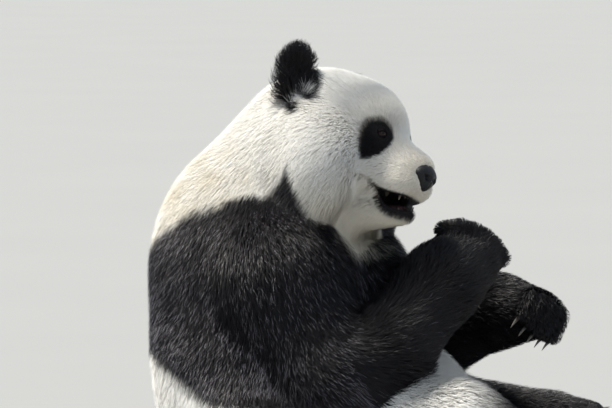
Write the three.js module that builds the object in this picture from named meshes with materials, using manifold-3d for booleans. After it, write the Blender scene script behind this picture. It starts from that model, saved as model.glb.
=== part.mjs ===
// Giant panda, sitting on its rump with its hind legs stretched forward and its forepaws raised, life size.
// Millimetres. +X is the way the body faces, +Y its left side, +Z up; the origin is on the floor under it.
// The body is a smooth union of ellipsoids and round cones that runs out to the tips of the coat. It is
// meshed once, and more finely for the head, ears, paws and tail, and parted into nodes by thin cuts.
import * as THREE from "three";
import { mergeVertices } from "three/addons/utils/BufferGeometryUtils.js";
import Module from "manifold-3d";

const wasm = await Module();
wasm.setup();

// ---- Driving dimensions ----

const GAP = 0.3; // clearance between neighbouring nodes
const SLIVER = 0.1; // what a cut leaves narrower than this is closed up
const SIDES = { right: -1, left: 1 }; // sign of Y, and of the head's own sideways axis

// Mesh fineness: the side of a lattice cell, and how far a mesh may be thinned as a share of it.
const FINE = { body: 56, paw: 40, head: 36, ear: 22, nose: 20, tail: 36 };
const THINNING = 0.06;
const REACH = { low: [-300, -400, -40], high: [900, 400, 1060] }; // the box that is meshed

// Trunk, from the rump up: centre, half-axes and width of the blend with what lies under it.
const TRUNK = {
  chest: { centre: [38, 0, 490], radii: [230, 222, 235], blend: 60 },
  abdomen: { centre: [65, 0, 310], radii: [252, 252, 200], blend: 80 },
  rump: { centre: [45, 0, 160], radii: [205, 258, 175], blend: 80 },
  belly: { centre: [195, 0, 230], radii: [290, 232, 175], blend: 80 },
  breast: { centre: [240, 0, 505], radii: [115, 140, 95], blend: 60 },
};
const NECK = { from: [45, 0, 600], to: [145, -8, 752], thick: 190, thin: 160, blend: 80 };
const TAIL = { from: [-140, 0, 72], to: [-205, 0, 44], thick: 40, thin: 36, blend: 25 };

// Forelegs, from the shoulder girdle to the middle of the closed paw.
// grip is the axis that the digits close round, palm the way the palm faces.
const FORELEGS = {
  right: {
    girdle: [60, -130, 558],
    shoulder: [85, -168, 515],
    elbow: [185, -240, 318],
    midarm: [305, -205, 375],
    wrist: [408, -122, 492],
    paw: [462, -62, 528],
    radii: { girdle: 98, shoulder: 118, elbow: 92, midarm: 88, wrist: 84, paw: 86 },
    grip: [0.72, 0.39, -0.57],
    palm: [-0.3, 0.92, 0.24],
  },
  left: {
    girdle: [60, 130, 558],
    shoulder: [110, 168, 515],
    elbow: [330, 215, 325],
    midarm: [430, 175, 362],
    wrist: [535, 125, 405],
    paw: [608, 86, 404],
    radii: { girdle: 98, shoulder: 118, elbow: 92, midarm: 90, wrist: 78, paw: 70 },
    grip: [0.72, 0.39, -0.57],
    palm: [-0.45, -0.86, -0.24],
  },
};

// Hind legs, from the hip to the ball of the foot; the heels rest on the floor with the soles facing forward.
const HIND_LEGS = {
  right: {
    hip: [60, -150, 155],
    knee: [430, -228, 200],
    ankle: [645, -258, 112],
    heel: [684, -262, 70],
    ball: [712, -272, 152],
    radii: { hip: 160, knee: 118, shin: 110, ankle: 82, heel: 75, ball: 56 },
  },
  left: {
    hip: [60, 150, 155],
    knee: [400, 215, 172],
    ankle: [660, 248, 136],
    heel: [703, 252, 70],
    ball: [733, 262, 142],
    radii: { hip: 158, knee: 106, shin: 98, ankle: 84, heel: 75, ball: 56 },
  },
};

// Head: its own frame has u forward, v to the animal's left and w up from the middle of the braincase.
// turn is towards the animal's right and tilt down on its left, in degrees.
const HEAD = { centre: [199, -15, 787], turn: 32, tilt: 20 };
const SKULL = {
  braincase: { at: [-5, 0, 0], radii: [128, 135, 124], blend: 50 },
  forehead: { at: [70, 0, 10], radii: [80, 98, 92], blend: 40 },
  cheek: { at: [30, 98, -78], radii: [95, 90, 98], blend: 60 },
  throat: { at: [15, 0, -134], radii: [90, 90, 76], blend: 30 },
  lip: { at: [182, 26, -106], radii: [42, 30, 26], blend: 20 },
  nose: { at: [222, 0, -86], radii: [19, 33, 26], blend: 8 },
};
// The long hair under the cheeks, which hangs lower on the right.
const RUFF = {
  right: { at: [35, -105, -122], radii: [75, 70, 84], blend: 40 },
  left: { at: [12, 102, -106], radii: [70, 66, 78], blend: 40 },
};
const SNOUT = {
  muzzle: { from: [92, 24, -60], to: [178, 13, -84], thick: 66, thin: 46, blend: 45 },
  bridge: { from: [100, 0, -30], to: [206, 0, -66], thick: 44, thin: 27, blend: 25 },
  jaw: { from: [60, 0, -148], to: [189, 0, -161], thick: 62, thin: 26, blend: 20 },
};

// sink is how far the middle of the eye lies below the coat.
const EYE = { at: [140, 60, -16], gaze: [0.82, 0.56, 0.05], radius: 12, sink: 10 };
const EAR = {
  at: { right: [-36, -136, 70], left: [-58, 136, 84] },
  radii: [26, 53, 79],
  up: [-0.19, -0.1, 1],
  splay: 35, // degrees that its face looks outward
  blend: 10,
  dish: { at: [36, 0, 6], radii: [24, 37, 50], blend: 16 }, // the hollow, in the ear's own frame
};

// The open mouth in the head's u and w from its corner: the curves of its upper and lower edges.
const MOUTH = {
  corner: [138, -112],
  halfWidth: 95,
  upper: [[15, -8], [36, -22], [110, -23]],
  lower: [[110, -46], [28, -47], [8, -40]],
};
const TONGUE = { at: [146, 0, -155], radii: [50, 15, 12] };

// Teeth: how far the front of a row lies from the mouth's corner, its half-width and its gum's level.
const TEETH = {
  lower: { forward: 62, half: 17, level: -52, way: 1 },
  upper: { forward: 60, half: 20, level: -16, way: -1 },
  canine: { back: 12, out: 0, height: 13, thick: 5 },
  cheek: { back: 40, out: 5, height: 9, thick: 6 },
  incisor: { back: 5, steps: [0.22, 0.66], height: 7, thick: 4 },
  rooted: 3, // how far each stands in its gum
};

// Where the trunk is parted from the limbs: a point in each plane and the way from it into the limb.
const PARTING = {
  arm: {
    right: { at: [130, -185, 400], way: [0.3, -0.95, 0.32] },
    left: { at: [150, 185, 400], way: [0.3, 0.95, 0.32] },
  },
  thigh: {
    right: { at: [245, -147, 195], way: [0.18, -0.92, -0.38] },
    left: { at: [245, 147, 195], way: [0.18, 0.92, -0.38] },
  },
  underElbow: 48, // the upper arm ends this far under the middle of the elbow
  tail: -150,
  neck: 612,
};

const DIGITS = [-2, -1, 0, 1, 2];
const CLAW = { fore: 18, hind: 16, base: 7.5, bend: 0.3 }; // length shown, half-thickness at the root, curl

// How far the tools that part the nodes reach past the flesh that they take.
const REACHES = {
  ear: [12, 14, 14],
  underEar: 8,
  nose: { at: [226, 0, -87], radii: [25, 39, 33] },
  jaw: { low: [-48, -85, -91], high: [120, 85, -25] },
  throat: 600, // level of the underside of the head's nodes
  head: { at: [20, 0, -20], radius: 262, nape: [0.883, 0, 0.469], behind: -66 },
  paw: { wrist: 32, paw: 34, past: 130 },
  forearm: { elbow: 14, midarm: 14, wrist: 24, before: 120, past: 40 },
  arm: { shoulder: 34, elbow: 30, before: 95, past: 140 },
  foot: { before: 75, thick: 150, thin: 170, past: 120 },
  shank: { knee: 30, ankle: 40, before: -25, past: 60 },
};
const FAR = 1500; // further than any part of the animal

// ---- Small helpers ----

const vec = (a) => new THREE.Vector3(...a);
const plus = (a, b) => a.map((value, i) => value + b[i]);
const mirrored = ([u, v, w], s) => [u, v * s, w];
const rad = THREE.MathUtils.degToRad;
const SKEW = new THREE.Vector3(0.3, 0.2, 1); // an up that no plane's normal runs along

// The head's frame: forward, left and up as a matrix whose columns are those axes.
function headBasis() {
  const turn = new THREE.Matrix4().makeRotationZ(-rad(HEAD.turn));
  const tilt = new THREE.Matrix4().makeRotationX(-rad(HEAD.tilt));
  return turn.multiply(tilt);
}
const HEAD_BASIS = headBasis();
const headDirection = (a) => vec(a).applyMatrix4(HEAD_BASIS);
const headPoint = (a) => headDirection(a).add(vec(HEAD.centre));

// A frame whose first axis is forward and whose third leans towards up.
function basisOf(forward, up) {
  const x = forward.clone().normalize();
  const z = up.clone().addScaledVector(x, -up.dot(x)).normalize();
  const y = z.clone().cross(x);
  return new THREE.Matrix4().makeBasis(x, y, z);
}

// ---- The form: signed distances, blended ----

class Ellipsoid {
  constructor(centre, radii, blend, basis = new THREE.Matrix4()) {
    this.centre = centre;
    this.radii = radii;
    this.blend = blend;
    this.inverse = basis.clone().transpose();
  }
  distance(p) {
    const q = p.clone().sub(this.centre).applyMatrix4(this.inverse);
    const [a, b, c] = this.radii;
    const near = Math.hypot(q.x / a, q.y / b, q.z / c);
    const slope = Math.hypot(q.x / (a * a), q.y / (b * b), q.z / (c * c));
    return slope < 1e-9 ? -Math.min(a, b, c) : (near * (near - 1)) / slope;
  }
}

class RoundCone {
  constructor(from, to, thick, thin, blend) {
    Object.assign(this, { from, thick, thin, blend });
    this.axis = to.clone().sub(from);
    this.length2 = this.axis.lengthSq();
    this.taper = thick - thin;
  }
  distance(p) {
    const { axis, length2, taper } = this;
    const a = p.clone().sub(this.from);
    const slant2 = length2 - taper * taper;
    const y = a.dot(axis);
    const z = y - length2;
    const x2 = a.clone().multiplyScalar(length2).addScaledVector(axis, -y).lengthSq();
    const y2 = y * y * length2;
    const z2 = z * z * length2;
    const k = Math.sign(taper) * taper * taper * x2;
    if (Math.sign(z) * slant2 * z2 > k) return Math.sqrt(x2 + z2) / length2 - this.thin;
    if (Math.sign(y) * slant2 * y2 < k) return Math.sqrt(x2 + y2) / length2 - this.thick;
    return (Math.sqrt((x2 * slant2) / length2) + y * taper) / length2 - this.thick;
  }
}

const blobs = [];
const hollows = [];

const cone = (from, to, thick, thin, blend) => blobs.push(new RoundCone(from, to, thick, thin, blend));
const egg = (centre, radii, blend, basis) => blobs.push(new Ellipsoid(centre, radii, blend, basis));

// Smooth union: where two distances differ by less than the blend, the lower one is lowered further.
function join(a, b, blend) {
  const h = Math.max(blend - Math.abs(a - b), 0) / blend;
  return Math.min(a, b) - (h * h * blend) / 4;
}

function body(p) {
  let d = Infinity;
  for (const b of blobs) d = d === Infinity ? b.distance(p) : join(d, b.distance(p), b.blend);
  for (const h of hollows) d = -join(-d, h.distance(p), h.blend);
  return d;
}

// ---- The animal's blobs ----

function addTrunk() {
  for (const t of Object.values(TRUNK)) egg(vec(t.centre), t.radii, t.blend);
  cone(vec(NECK.from), vec(NECK.to), NECK.thick, NECK.thin, NECK.blend);
  cone(vec(TAIL.from), vec(TAIL.to), TAIL.thick, TAIL.thin, TAIL.blend);
}

// A closed paw: where digit i lies and points, i from -2 to 2 along the grip.
function foreDigit(side, i) {
  const leg = FORELEGS[side];
  const grip = vec(leg.grip).normalize();
  const palm = vec(leg.palm).addScaledVector(grip, -vec(leg.palm).dot(grip)).normalize();
  const reach = grip.clone().cross(palm).multiplyScalar(-SIDES[side]);
  const r = leg.radii.paw;
  const middle = vec(leg.paw).addScaledVector(grip, i * 0.33 * r);
  const fall = 1 - 0.05 * i * i;
  const knuckle = middle.clone().addScaledVector(reach, 0.7 * r * fall);
  const tip = middle.clone().addScaledVector(palm, 0.78 * r * fall).addScaledVector(reach, 0.22 * r);
  const claw = reach.clone().multiplyScalar(-1).addScaledVector(palm, 0.25).normalize();
  return { knuckle, tip, claw, palm, thick: 0.27 * r };
}

function addForeleg(side) {
  const { girdle, shoulder, elbow, midarm, wrist, paw, radii } = FORELEGS[side];
  cone(vec(girdle), vec(shoulder), radii.girdle, radii.shoulder, 70);
  cone(vec(shoulder), vec(elbow), radii.shoulder, radii.elbow, 60);
  cone(vec(elbow), vec(midarm), radii.elbow - 4, radii.midarm, 30);
  cone(vec(midarm), vec(wrist), radii.midarm, radii.wrist, 30);
  cone(vec(wrist), vec(paw), radii.wrist, 0.82 * radii.paw, 30);
  for (const i of DIGITS) {
    const { knuckle, tip, thick } = foreDigit(side, i);
    cone(knuckle, tip, thick, thick, 14);
  }
}

// A hind toe: i from -2 to 2 across the sole, the toes fanned out over the ball of the foot.
function hindDigit(side, i) {
  const leg = HIND_LEGS[side];
  const ball = vec(leg.ball);
  const up = ball.clone().sub(vec(leg.heel)).normalize();
  const across = up.clone().cross(new THREE.Vector3(1, 0, 0)).normalize();
  const front = across.clone().cross(up);
  const root = ball.clone().addScaledVector(across, i * 21).addScaledVector(front, 6);
  const reach = 30 - 3 * i * i;
  const tip = root.clone().addScaledVector(up, reach).addScaledVector(across, i * 3);
  const claw = up.clone().addScaledVector(front, 0.55).normalize();
  return { root, tip, claw, palm: front, thick: 21 };
}

function addHindLeg(side) {
  const { hip, knee, ankle, heel, ball, radii } = HIND_LEGS[side];
  cone(vec(hip), vec(knee), radii.hip, radii.knee, 60);
  cone(vec(knee), vec(ankle), radii.shin, radii.ankle, 30);
  cone(vec(ankle), vec(heel), radii.ankle - 4, radii.heel, 20);
  cone(vec(heel), vec(ball), radii.heel - 8, radii.ball, 30);
  for (const i of DIGITS) {
    const { root, tip, thick } = hindDigit(side, i);
    cone(root, tip, thick, thick - 3, 12);
  }
}

// The ear's frame: its dished face looks forward and out.
function earFrame(side) {
  const s = SIDES[side];
  const out = rad(EAR.splay);
  const face = headDirection(mirrored([Math.cos(out), Math.sin(out), 0.05], s));
  return basisOf(face, headDirection(mirrored(EAR.up, s)));
}
function earPoint(side, a) {
  return vec(a).applyMatrix4(earFrame(side)).add(headPoint(EAR.at[side]));
}

function skullEgg({ at, radii, blend }, s = 1) {
  egg(headPoint(mirrored(at, s)), radii, blend, HEAD_BASIS);
}
function snoutCone({ from, to, thick, thin, blend }, s = 1) {
  cone(headPoint(mirrored(from, s)), headPoint(mirrored(to, s)), thick, thin, blend);
}

function addHead() {
  const signs = Object.values(SIDES);
  skullEgg(SKULL.braincase);
  skullEgg(SKULL.forehead);
  for (const [side, s] of Object.entries(SIDES)) {
    skullEgg(SKULL.cheek, s);
    skullEgg(RUFF[side]);
  }
  skullEgg(SKULL.throat);
  for (const s of signs) snoutCone(SNOUT.muzzle, s);
  snoutCone(SNOUT.bridge);
  for (const s of signs) skullEgg(SKULL.lip, s);
  skullEgg(SKULL.nose);
  snoutCone(SNOUT.jaw);
  for (const side of Object.keys(SIDES)) {
    const frame = earFrame(side);
    egg(earPoint(side, [0, 0, 0]), EAR.radii, EAR.blend, frame);
    const { at, radii, blend } = EAR.dish;
    hollows.push(new Ellipsoid(earPoint(side, at), radii, blend, frame));
  }
}

addTrunk();
for (const side of Object.keys(SIDES)) {
  addForeleg(side);
  addHindLeg(side);
}
addHead();

// ---- From the form to meshes ----

function gradient(f, p, step) {
  const g = new THREE.Vector3();
  for (const axis of ["x", "y", "z"]) {
    const a = p.clone();
    const b = p.clone();
    a[axis] += step;
    b[axis] -= step;
    g[axis] = (f(a) - f(b)) / (2 * step);
  }
  return g;
}

// Surface nets: one vertex in each cell that the surface crosses and one quad round each crossed edge.
// The vertices are then slid along the slope of the distance onto the surface itself.
function meshOf(f, box, cell) {
  const size = box.getSize(new THREE.Vector3());
  const n = ["x", "y", "z"].map((axis) => Math.ceil(size[axis] / cell) + 3);
  const at = (i, j, k) =>
    new THREE.Vector3(box.min.x + (i - 1) * cell, box.min.y + (j - 1) * cell, box.min.z + (k - 1) * cell);
  const index = (i, j, k) => (k * n[1] + j) * n[0] + i;
  const inBox = (p) =>
    Math.max(
      box.min.x - p.x, p.x - box.max.x, box.min.y - p.y, p.y - box.max.y, box.min.z - p.z, p.z - box.max.z,
    );
  const clipped = (p) => Math.max(f(p), inBox(p));
  const value = new Float64Array(n[0] * n[1] * n[2]);
  for (let k = 0; k < n[2]; k++)
    for (let j = 0; j < n[1]; j++)
      for (let i = 0; i < n[0]; i++) value[index(i, j, k)] = clipped(at(i, j, k));
  while (fillChequers(value, n, index));

  const corners = [];
  for (let c = 0; c < 8; c++) corners.push([c & 1, (c >> 1) & 1, (c >> 2) & 1]);
  const vertexOf = new Int32Array(value.length).fill(-1);
  const positions = [];
  for (let k = 0; k < n[2] - 1; k++)
    for (let j = 0; j < n[1] - 1; j++)
      for (let i = 0; i < n[0] - 1; i++) {
        const point = cellPoint(corners, value, index, at, [i, j, k]);
        if (!point) continue;
        for (let pass = 0; pass < 3; pass++) {
          const g = gradient(clipped, point, 0.5);
          const wanted = -clipped(point) / Math.max(g.lengthSq(), 0.2);
          point.addScaledVector(g, 0.9 * THREE.MathUtils.clamp(wanted, -cell / 2, cell / 2));
        }
        vertexOf[index(i, j, k)] = positions.length / 3;
        positions.push(point.x, point.y, point.z);
      }

  const faces = [];
  for (let k = 1; k < n[2] - 1; k++)
    for (let j = 1; j < n[1] - 1; j++)
      for (let i = 1; i < n[0] - 1; i++) {
        const here = value[index(i, j, k)] < 0;
        const rings = [
          [value[index(i + 1, j, k)] < 0, [i, j - 1, k - 1], [i, j, k - 1], [i, j, k], [i, j - 1, k]],
          [value[index(i, j + 1, k)] < 0, [i - 1, j, k - 1], [i - 1, j, k], [i, j, k], [i, j, k - 1]],
          [value[index(i, j, k + 1)] < 0, [i - 1, j - 1, k], [i, j - 1, k], [i, j, k], [i - 1, j, k]],
        ];
        for (const [there, ...ring] of rings) {
          if (here === there) continue;
          const q = ring.map((c) => vertexOf[index(...c)]);
          if (!here) q.reverse();
          faces.push(...shorterSplit(positions, q));
        }
      }
  return solidFrom(positions, faces).simplify(cell * THINNING);
}

// Where the corners of a lattice square lie inside and outside by turns, two sheets of the surface would share
// an edge, so the shallower of its outer corners is taken inside. Says whether it found any.
function fillChequers(value, n, index) {
  let found = false;
  const steps = [[1, 0, 0], [0, 1, 0], [0, 0, 1]];
  for (let k = 0; k < n[2] - 1; k++)
    for (let j = 0; j < n[1] - 1; j++)
      for (let i = 0; i < n[0] - 1; i++)
        for (const [a, b] of [[0, 1], [1, 2], [2, 0]]) {
          const [p, q] = [steps[a], steps[b]];
          const ring = [
            index(i, j, k),
            index(i + p[0], j + p[1], k + p[2]),
            index(i + p[0] + q[0], j + p[1] + q[1], k + p[2] + q[2]),
            index(i + q[0], j + q[1], k + q[2]),
          ];
          const inside = ring.map((c) => value[c] < 0);
          const byTurns = inside[0] === inside[2] && inside[1] === inside[3] && inside[0] !== inside[1];
          if (!byTurns) continue;
          const outer = ring.filter((c) => value[c] >= 0);
          value[value[outer[0]] < value[outer[1]] ? outer[0] : outer[1]] = -SLIVER;
          found = true;
        }
  return found;
}

// The mean of the points where the surface crosses a cell's edges, or null where it crosses none.
function cellPoint(corners, value, index, at, [i, j, k]) {
  const sum = new THREE.Vector3();
  let count = 0;
  for (let c = 0; c < 8; c++)
    for (const bit of [1, 2, 4]) {
      if (c & bit) continue;
      const [a, b] = [corners[c], corners[c | bit]];
      const va = value[index(i + a[0], j + a[1], k + a[2])];
      const vb = value[index(i + b[0], j + b[1], k + b[2])];
      if (va < 0 === vb < 0) continue;
      const from = at(i + a[0], j + a[1], k + a[2]);
      sum.add(from.lerp(at(i + b[0], j + b[1], k + b[2]), va / (va - vb)));
      count++;
    }
  return count ? sum.divideScalar(count) : null;
}

// Two triangles of a quad, split along its shorter diagonal.
function shorterSplit(positions, [a, b, c, d]) {
  const reach = (m, o) =>
    Math.hypot(
      positions[3 * m] - positions[3 * o],
      positions[3 * m + 1] - positions[3 * o + 1],
      positions[3 * m + 2] - positions[3 * o + 2],
    );
  return reach(a, c) < reach(b, d) ? [a, b, c, a, c, d] : [a, b, d, b, c, d];
}

function solidFrom(positions, faces) {
  const made = new wasm.Mesh({
    numProp: 3,
    vertProperties: new Float32Array(positions),
    triVerts: new Uint32Array(faces),
  });
  return new wasm.Manifold(made);
}

function solidOf(geometry) {
  const bare = geometry.clone();
  bare.deleteAttribute("normal");
  bare.deleteAttribute("uv");
  const merged = mergeVertices(bare, 1e-3);
  return solidFrom(merged.attributes.position.array, merged.index.array);
}

function geometryOf(solid) {
  const mesh = solid.getMesh();
  const geometry = new THREE.BufferGeometry();
  geometry.setAttribute("position", new THREE.BufferAttribute(mesh.vertProperties, 3));
  geometry.setIndex(new THREE.BufferAttribute(mesh.triVerts, 1));
  geometry.computeVertexNormals();
  return geometry;
}

const largestOf = (solid) =>
  solid.decompose().reduce((best, one) => (one.volume() > best.volume() ? one : best));

// ---- Tools that part the nodes; grow widens a tool on every side ----

const placed = (geometry, basis, origin) =>
  solidOf(geometry.applyMatrix4(basis.clone().setPosition(origin)));

function block(min, max, basis = new THREE.Matrix4(), origin = new THREE.Vector3()) {
  return (grow) => {
    const low = vec(min).subScalar(grow);
    const high = vec(max).addScalar(grow);
    const size = high.clone().sub(low);
    const middle = low.add(high).multiplyScalar(0.5);
    const geometry = new THREE.BoxGeometry(size.x, size.y, size.z);
    geometry.translate(middle.x, middle.y, middle.z);
    return placed(geometry, basis, origin);
  };
}

// A tapered round bar from one point towards another, run on past both by the given lengths.
function bar(from, to, thick, thin, before, after) {
  return (grow) => {
    const axis = to.clone().sub(from);
    const length = axis.length();
    const slope = (thin - thick) / length;
    const rise = length + before + after + 2 * grow;
    const base = thick - slope * before + grow;
    const top = thin + slope * after + grow;
    const geometry = new THREE.CylinderGeometry(top, base, rise, 14);
    geometry.translate(0, rise / 2 - before - grow, 0);
    const turn = new THREE.Quaternion().setFromUnitVectors(new THREE.Vector3(0, 1, 0), axis.normalize());
    return placed(geometry, new THREE.Matrix4().makeRotationFromQuaternion(turn), from);
  };
}

// All that lies on one side of a plane, from the point through which it passes on in the way given.
function beyond(through, way) {
  return block([0, -FAR, -FAR], [FAR, FAR, FAR], basisOf(way, SKEW), through);
}
const both = (...tools) => (grow) => tools.map((t) => t(grow)).reduce((a, b) => a.intersect(b));
const either = (...tools) => (grow) => tools.map((t) => t(grow)).reduce((a, b) => a.add(b));

function ball(centre, radii, basis = new THREE.Matrix4(), around = 20) {
  return (grow) => {
    const geometry = new THREE.SphereGeometry(1, around, around / 2);
    geometry.scale(radii[0] + grow, radii[1] + grow, radii[2] + grow);
    return placed(geometry, basis, centre);
  };
}

// A claw: a cone that starts inside the digit's tip and bends in an arc towards the palm.
function claw({ tip, claw: way, palm, thick }, shown) {
  const length = thick + shown;
  const geometry = new THREE.ConeGeometry(CLAW.base, length, 5, 2).translate(0, length / 2, 0);
  const place = geometry.attributes.position;
  for (let i = 0; i < place.count; i++) {
    const along = place.getY(i) / length;
    place.setX(i, place.getX(i) + CLAW.bend * along * along * length);
  }
  const side = palm.clone().addScaledVector(way, -palm.dot(way)).normalize();
  const frame = new THREE.Matrix4().makeBasis(side, way, side.clone().cross(way));
  return placed(geometry, frame, tip);
}

// The open mouth seen from the side, pushed through from cheek to cheek.
function mouthTool(grow) {
  const [u, w] = MOUTH.corner;
  const above = MOUTH.upper.flatMap(([x, y]) => [u + x, w + y + grow]);
  const [start, ...rest] = MOUTH.lower;
  const below = rest.flatMap(([x, y]) => [u + x, w + y - grow]);
  const outline = new THREE.Shape();
  outline.moveTo(u - grow, w);
  outline.bezierCurveTo(...above);
  outline.lineTo(u + start[0], w + start[1] - grow);
  outline.bezierCurveTo(...below, u - grow, w);
  const depth = 2 * MOUTH.halfWidth;
  const geometry = new THREE.ExtrudeGeometry(outline, { depth, bevelEnabled: false, curveSegments: 6 });
  geometry.translate(0, 0, -depth / 2);
  geometry.rotateX(Math.PI / 2);
  return placed(geometry, HEAD_BASIS, vec(HEAD.centre));
}

// A tooth: a blunt cone standing on a gum point, pointing up or down in the head's frame.
function tooth([u, v, w], height, thick, way) {
  const geometry = new THREE.CylinderGeometry(thick * 0.35, thick, height, 5);
  geometry.rotateX((Math.PI / 2) * way);
  geometry.translate(u, v, w + way * (height / 2 - TEETH.rooted));
  return placed(geometry, HEAD_BASIS, vec(HEAD.centre));
}

// Canines and incisors round the front of a jaw, with a cheek tooth behind on each side.
function teeth({ forward, half, level, way }) {
  const { canine, cheek, incisor } = TEETH;
  const [u, w] = plus(MOUTH.corner, [forward, level]);
  const row = [];
  for (const s of Object.values(SIDES)) {
    for (const { back, out, height, thick } of [canine, cheek]) {
      row.push(tooth([u - back, s * (half + out), w], height, thick, way));
    }
    for (const step of incisor.steps) {
      const at = [u - incisor.back * step, s * half * step, w];
      row.push(tooth(at, incisor.height, incisor.thick, way));
    }
  }
  return row.reduce((all, one) => all.add(one));
}

// ---- The nodes ----

const panda = new THREE.Group();
const cutAway = []; // tools of the nodes already made, each widened by the gap

const material = (color, roughness) => new THREE.MeshStandardMaterial({ color, roughness, metalness: 0 });
const WHITE = material(0xe6e0d2, 0.9);
const BLACK = material(0x1b1a1e, 0.85);
const EYE_BROWN = material(0x1c110b, 0.12);
const NOSE_BLACK = material(0x17181b, 0.4);
const CLAW_HORN = material(0x8f8a86, 0.45);
const TONGUE_PINK = material(0x8a5a58, 0.45);

function addNode(name, solid, finish) {
  const mesh = new THREE.Mesh(geometryOf(largestOf(solid.simplify(SLIVER))), finish);
  mesh.name = name;
  panda.add(mesh);
}

const worldBox = block([-400, -500, 0], [1000, 500, 1100])(0);

// The body inside a tool's reach, with what other nodes took left out. It comes out of the body's own mesh, or
// out of a finer one made for it.
const whole = meshOf(body, new THREE.Box3(vec(REACH.low), vec(REACH.high)), FINE.body);

function flesh(tool, fineness) {
  const reach = tool(0);
  const { min, max } = reach.boundingBox();
  const box = new THREE.Box3(vec(min), vec(max)).expandByScalar(fineness);
  const form = fineness === FINE.body ? whole : meshOf(body, box, fineness);
  return cutAway.reduce((solid, taken) => solid.subtract(taken), form.intersect(reach).intersect(worldBox));
}

function addFlesh(name, tool, fineness, finish, finishOff = (solid) => solid) {
  const solid = finishOff(largestOf(flesh(tool, fineness)));
  addNode(name, solid, finish);
  cutAway.push(tool(GAP));
  return solid;
}

function addPiece(name, tool, finish) {
  addNode(name, tool(0), finish);
  cutAway.push(tool(GAP));
}

// The point where a line that comes in against the given way first meets the body.
function landing(near, way) {
  const p = near.clone().addScaledVector(way, 60);
  for (let step = 0; step < 60; step++) p.addScaledVector(way, -0.8 * body(p));
  return p;
}

function addEyes() {
  for (const [side, s] of Object.entries(SIDES)) {
    const gaze = headDirection(mirrored(EYE.gaze, s)).normalize();
    const centre = landing(headPoint(mirrored(EYE.at, s)), gaze).addScaledVector(gaze, -EYE.sink);
    addPiece("eye_" + side, ball(centre, [EYE.radius, EYE.radius, EYE.radius], HEAD_BASIS, 10), EYE_BROWN);
  }
}

// Claws start at the paw's surface: the paw, shifted by the gap each way in turn, is taken out of each.
function addClaws(paw, name, digits, shown) {
  const shifts = [[GAP, 0, 0], [-GAP, 0, 0], [0, GAP, 0], [0, -GAP, 0], [0, 0, GAP], [0, 0, -GAP]];
  digits.forEach((digit, n) => {
    const horn = shifts.reduce((left, shift) => left.subtract(paw.translate(...shift)), claw(digit, shown));
    addNode(`${name}_${n + 1}`, horn, CLAW_HORN);
  });
}

const ABOVE_THROAT = block([-FAR, -FAR, REACHES.throat], [FAR, FAR, FAR]);

// An ear's tool: a shell round the ear, less the skull that it stands on.
function earTool(side) {
  const shell = ball(earPoint(side, [0, 0, 0]), plus(EAR.radii, REACHES.ear), earFrame(side), 16);
  const { at, radii } = SKULL.braincase;
  const under = ball(headPoint(at), radii.map((r) => r - REACHES.underEar), HEAD_BASIS, 20);
  return (grow) => shell(grow).subtract(under(-grow));
}

// The head's tool: a ball round the skull, cut off flat behind the cheeks and under the throat.
function headTool(grow) {
  const { at, radius, nape, behind } = REACHES.head;
  const reach = ball(headPoint(at), [radius, radius, radius], HEAD_BASIS, 20);
  const cut = basisOf(headDirection(nape), headDirection([0, 0, 1]));
  const front = block([behind, -FAR, -FAR], [FAR, FAR, FAR], cut, vec(HEAD.centre));
  return both(reach, front, ABOVE_THROAT)(grow);
}

function addFace() {
  const { nose, jaw } = REACHES;
  addFlesh("nose_pad", ball(headPoint(nose.at), nose.radii, HEAD_BASIS, 10), FINE.nose, NOSE_BLACK);
  cutAway.push(mouthTool(0));
  const tongue = ball(headPoint(TONGUE.at), TONGUE.radii, HEAD_BASIS, 12)(0);
  addNode("tongue", tongue.intersect(mouthTool(-GAP)), TONGUE_PINK);
  for (const side of Object.keys(SIDES)) addFlesh("ear_" + side, earTool(side), FINE.ear, BLACK);
  const [u, w] = MOUTH.corner;
  const chin = block(plus(jaw.low, [u, 0, w]), plus(jaw.high, [u, 0, w]), HEAD_BASIS, vec(HEAD.centre));
  addFlesh("lower_jaw", both(chin, ABOVE_THROAT), FINE.head, WHITE, (solid) => solid.add(teeth(TEETH.lower)));
  addFlesh("head", headTool, FINE.head, WHITE, (solid) => solid.add(teeth(TEETH.upper)));
}

function addForelegNodes(side) {
  const { shoulder, elbow, midarm, wrist, paw, radii: r } = FORELEGS[side];
  const [vShoulder, vElbow, vMidarm, vWrist, vPaw] = [shoulder, elbow, midarm, wrist, paw].map(vec);
  const { paw: atPaw, forearm: atForearm, arm: atArm } = REACHES;
  const pawTool = bar(vWrist, vPaw, r.wrist + atPaw.wrist, r.paw + atPaw.paw, 0, atPaw.past);
  const made = addFlesh(`forepaw_${side}`, pawTool, FINE.paw, BLACK);
  addClaws(made, `fore_claw_${side}`, DIGITS.map((i) => foreDigit(side, i)), CLAW.fore);

  const upper = vElbow.clone().sub(vShoulder).normalize();
  const fore = vMidarm.clone().sub(vElbow).normalize();
  const mitre = beyond(vElbow, upper.clone().add(fore));
  const above = beyond(vElbow.clone().setZ(vElbow.z - PARTING.underElbow), vec([0, 0, 1]));
  const { before, past } = atForearm;
  const [elbowThick, midarmThick] = [r.elbow + atForearm.elbow, r.midarm + atForearm.midarm];
  const elbowBar = bar(vElbow, vMidarm, elbowThick, midarmThick, before, past);
  const wristBar = bar(vMidarm, vWrist, midarmThick, r.wrist + atForearm.wrist, past, past);
  addFlesh(`forearm_${side}`, both(either(elbowBar, wristBar), mitre, above), FINE.body, BLACK);

  const outside = beyond(vec(PARTING.arm[side].at), vec(PARTING.arm[side].way));
  const armThick = [r.shoulder + atArm.shoulder, r.elbow + atArm.elbow];
  const armBar = bar(vShoulder, vElbow, ...armThick, atArm.before, atArm.past);
  addFlesh(`upper_arm_${side}`, both(armBar, outside, above), FINE.body, BLACK);
}

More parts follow.
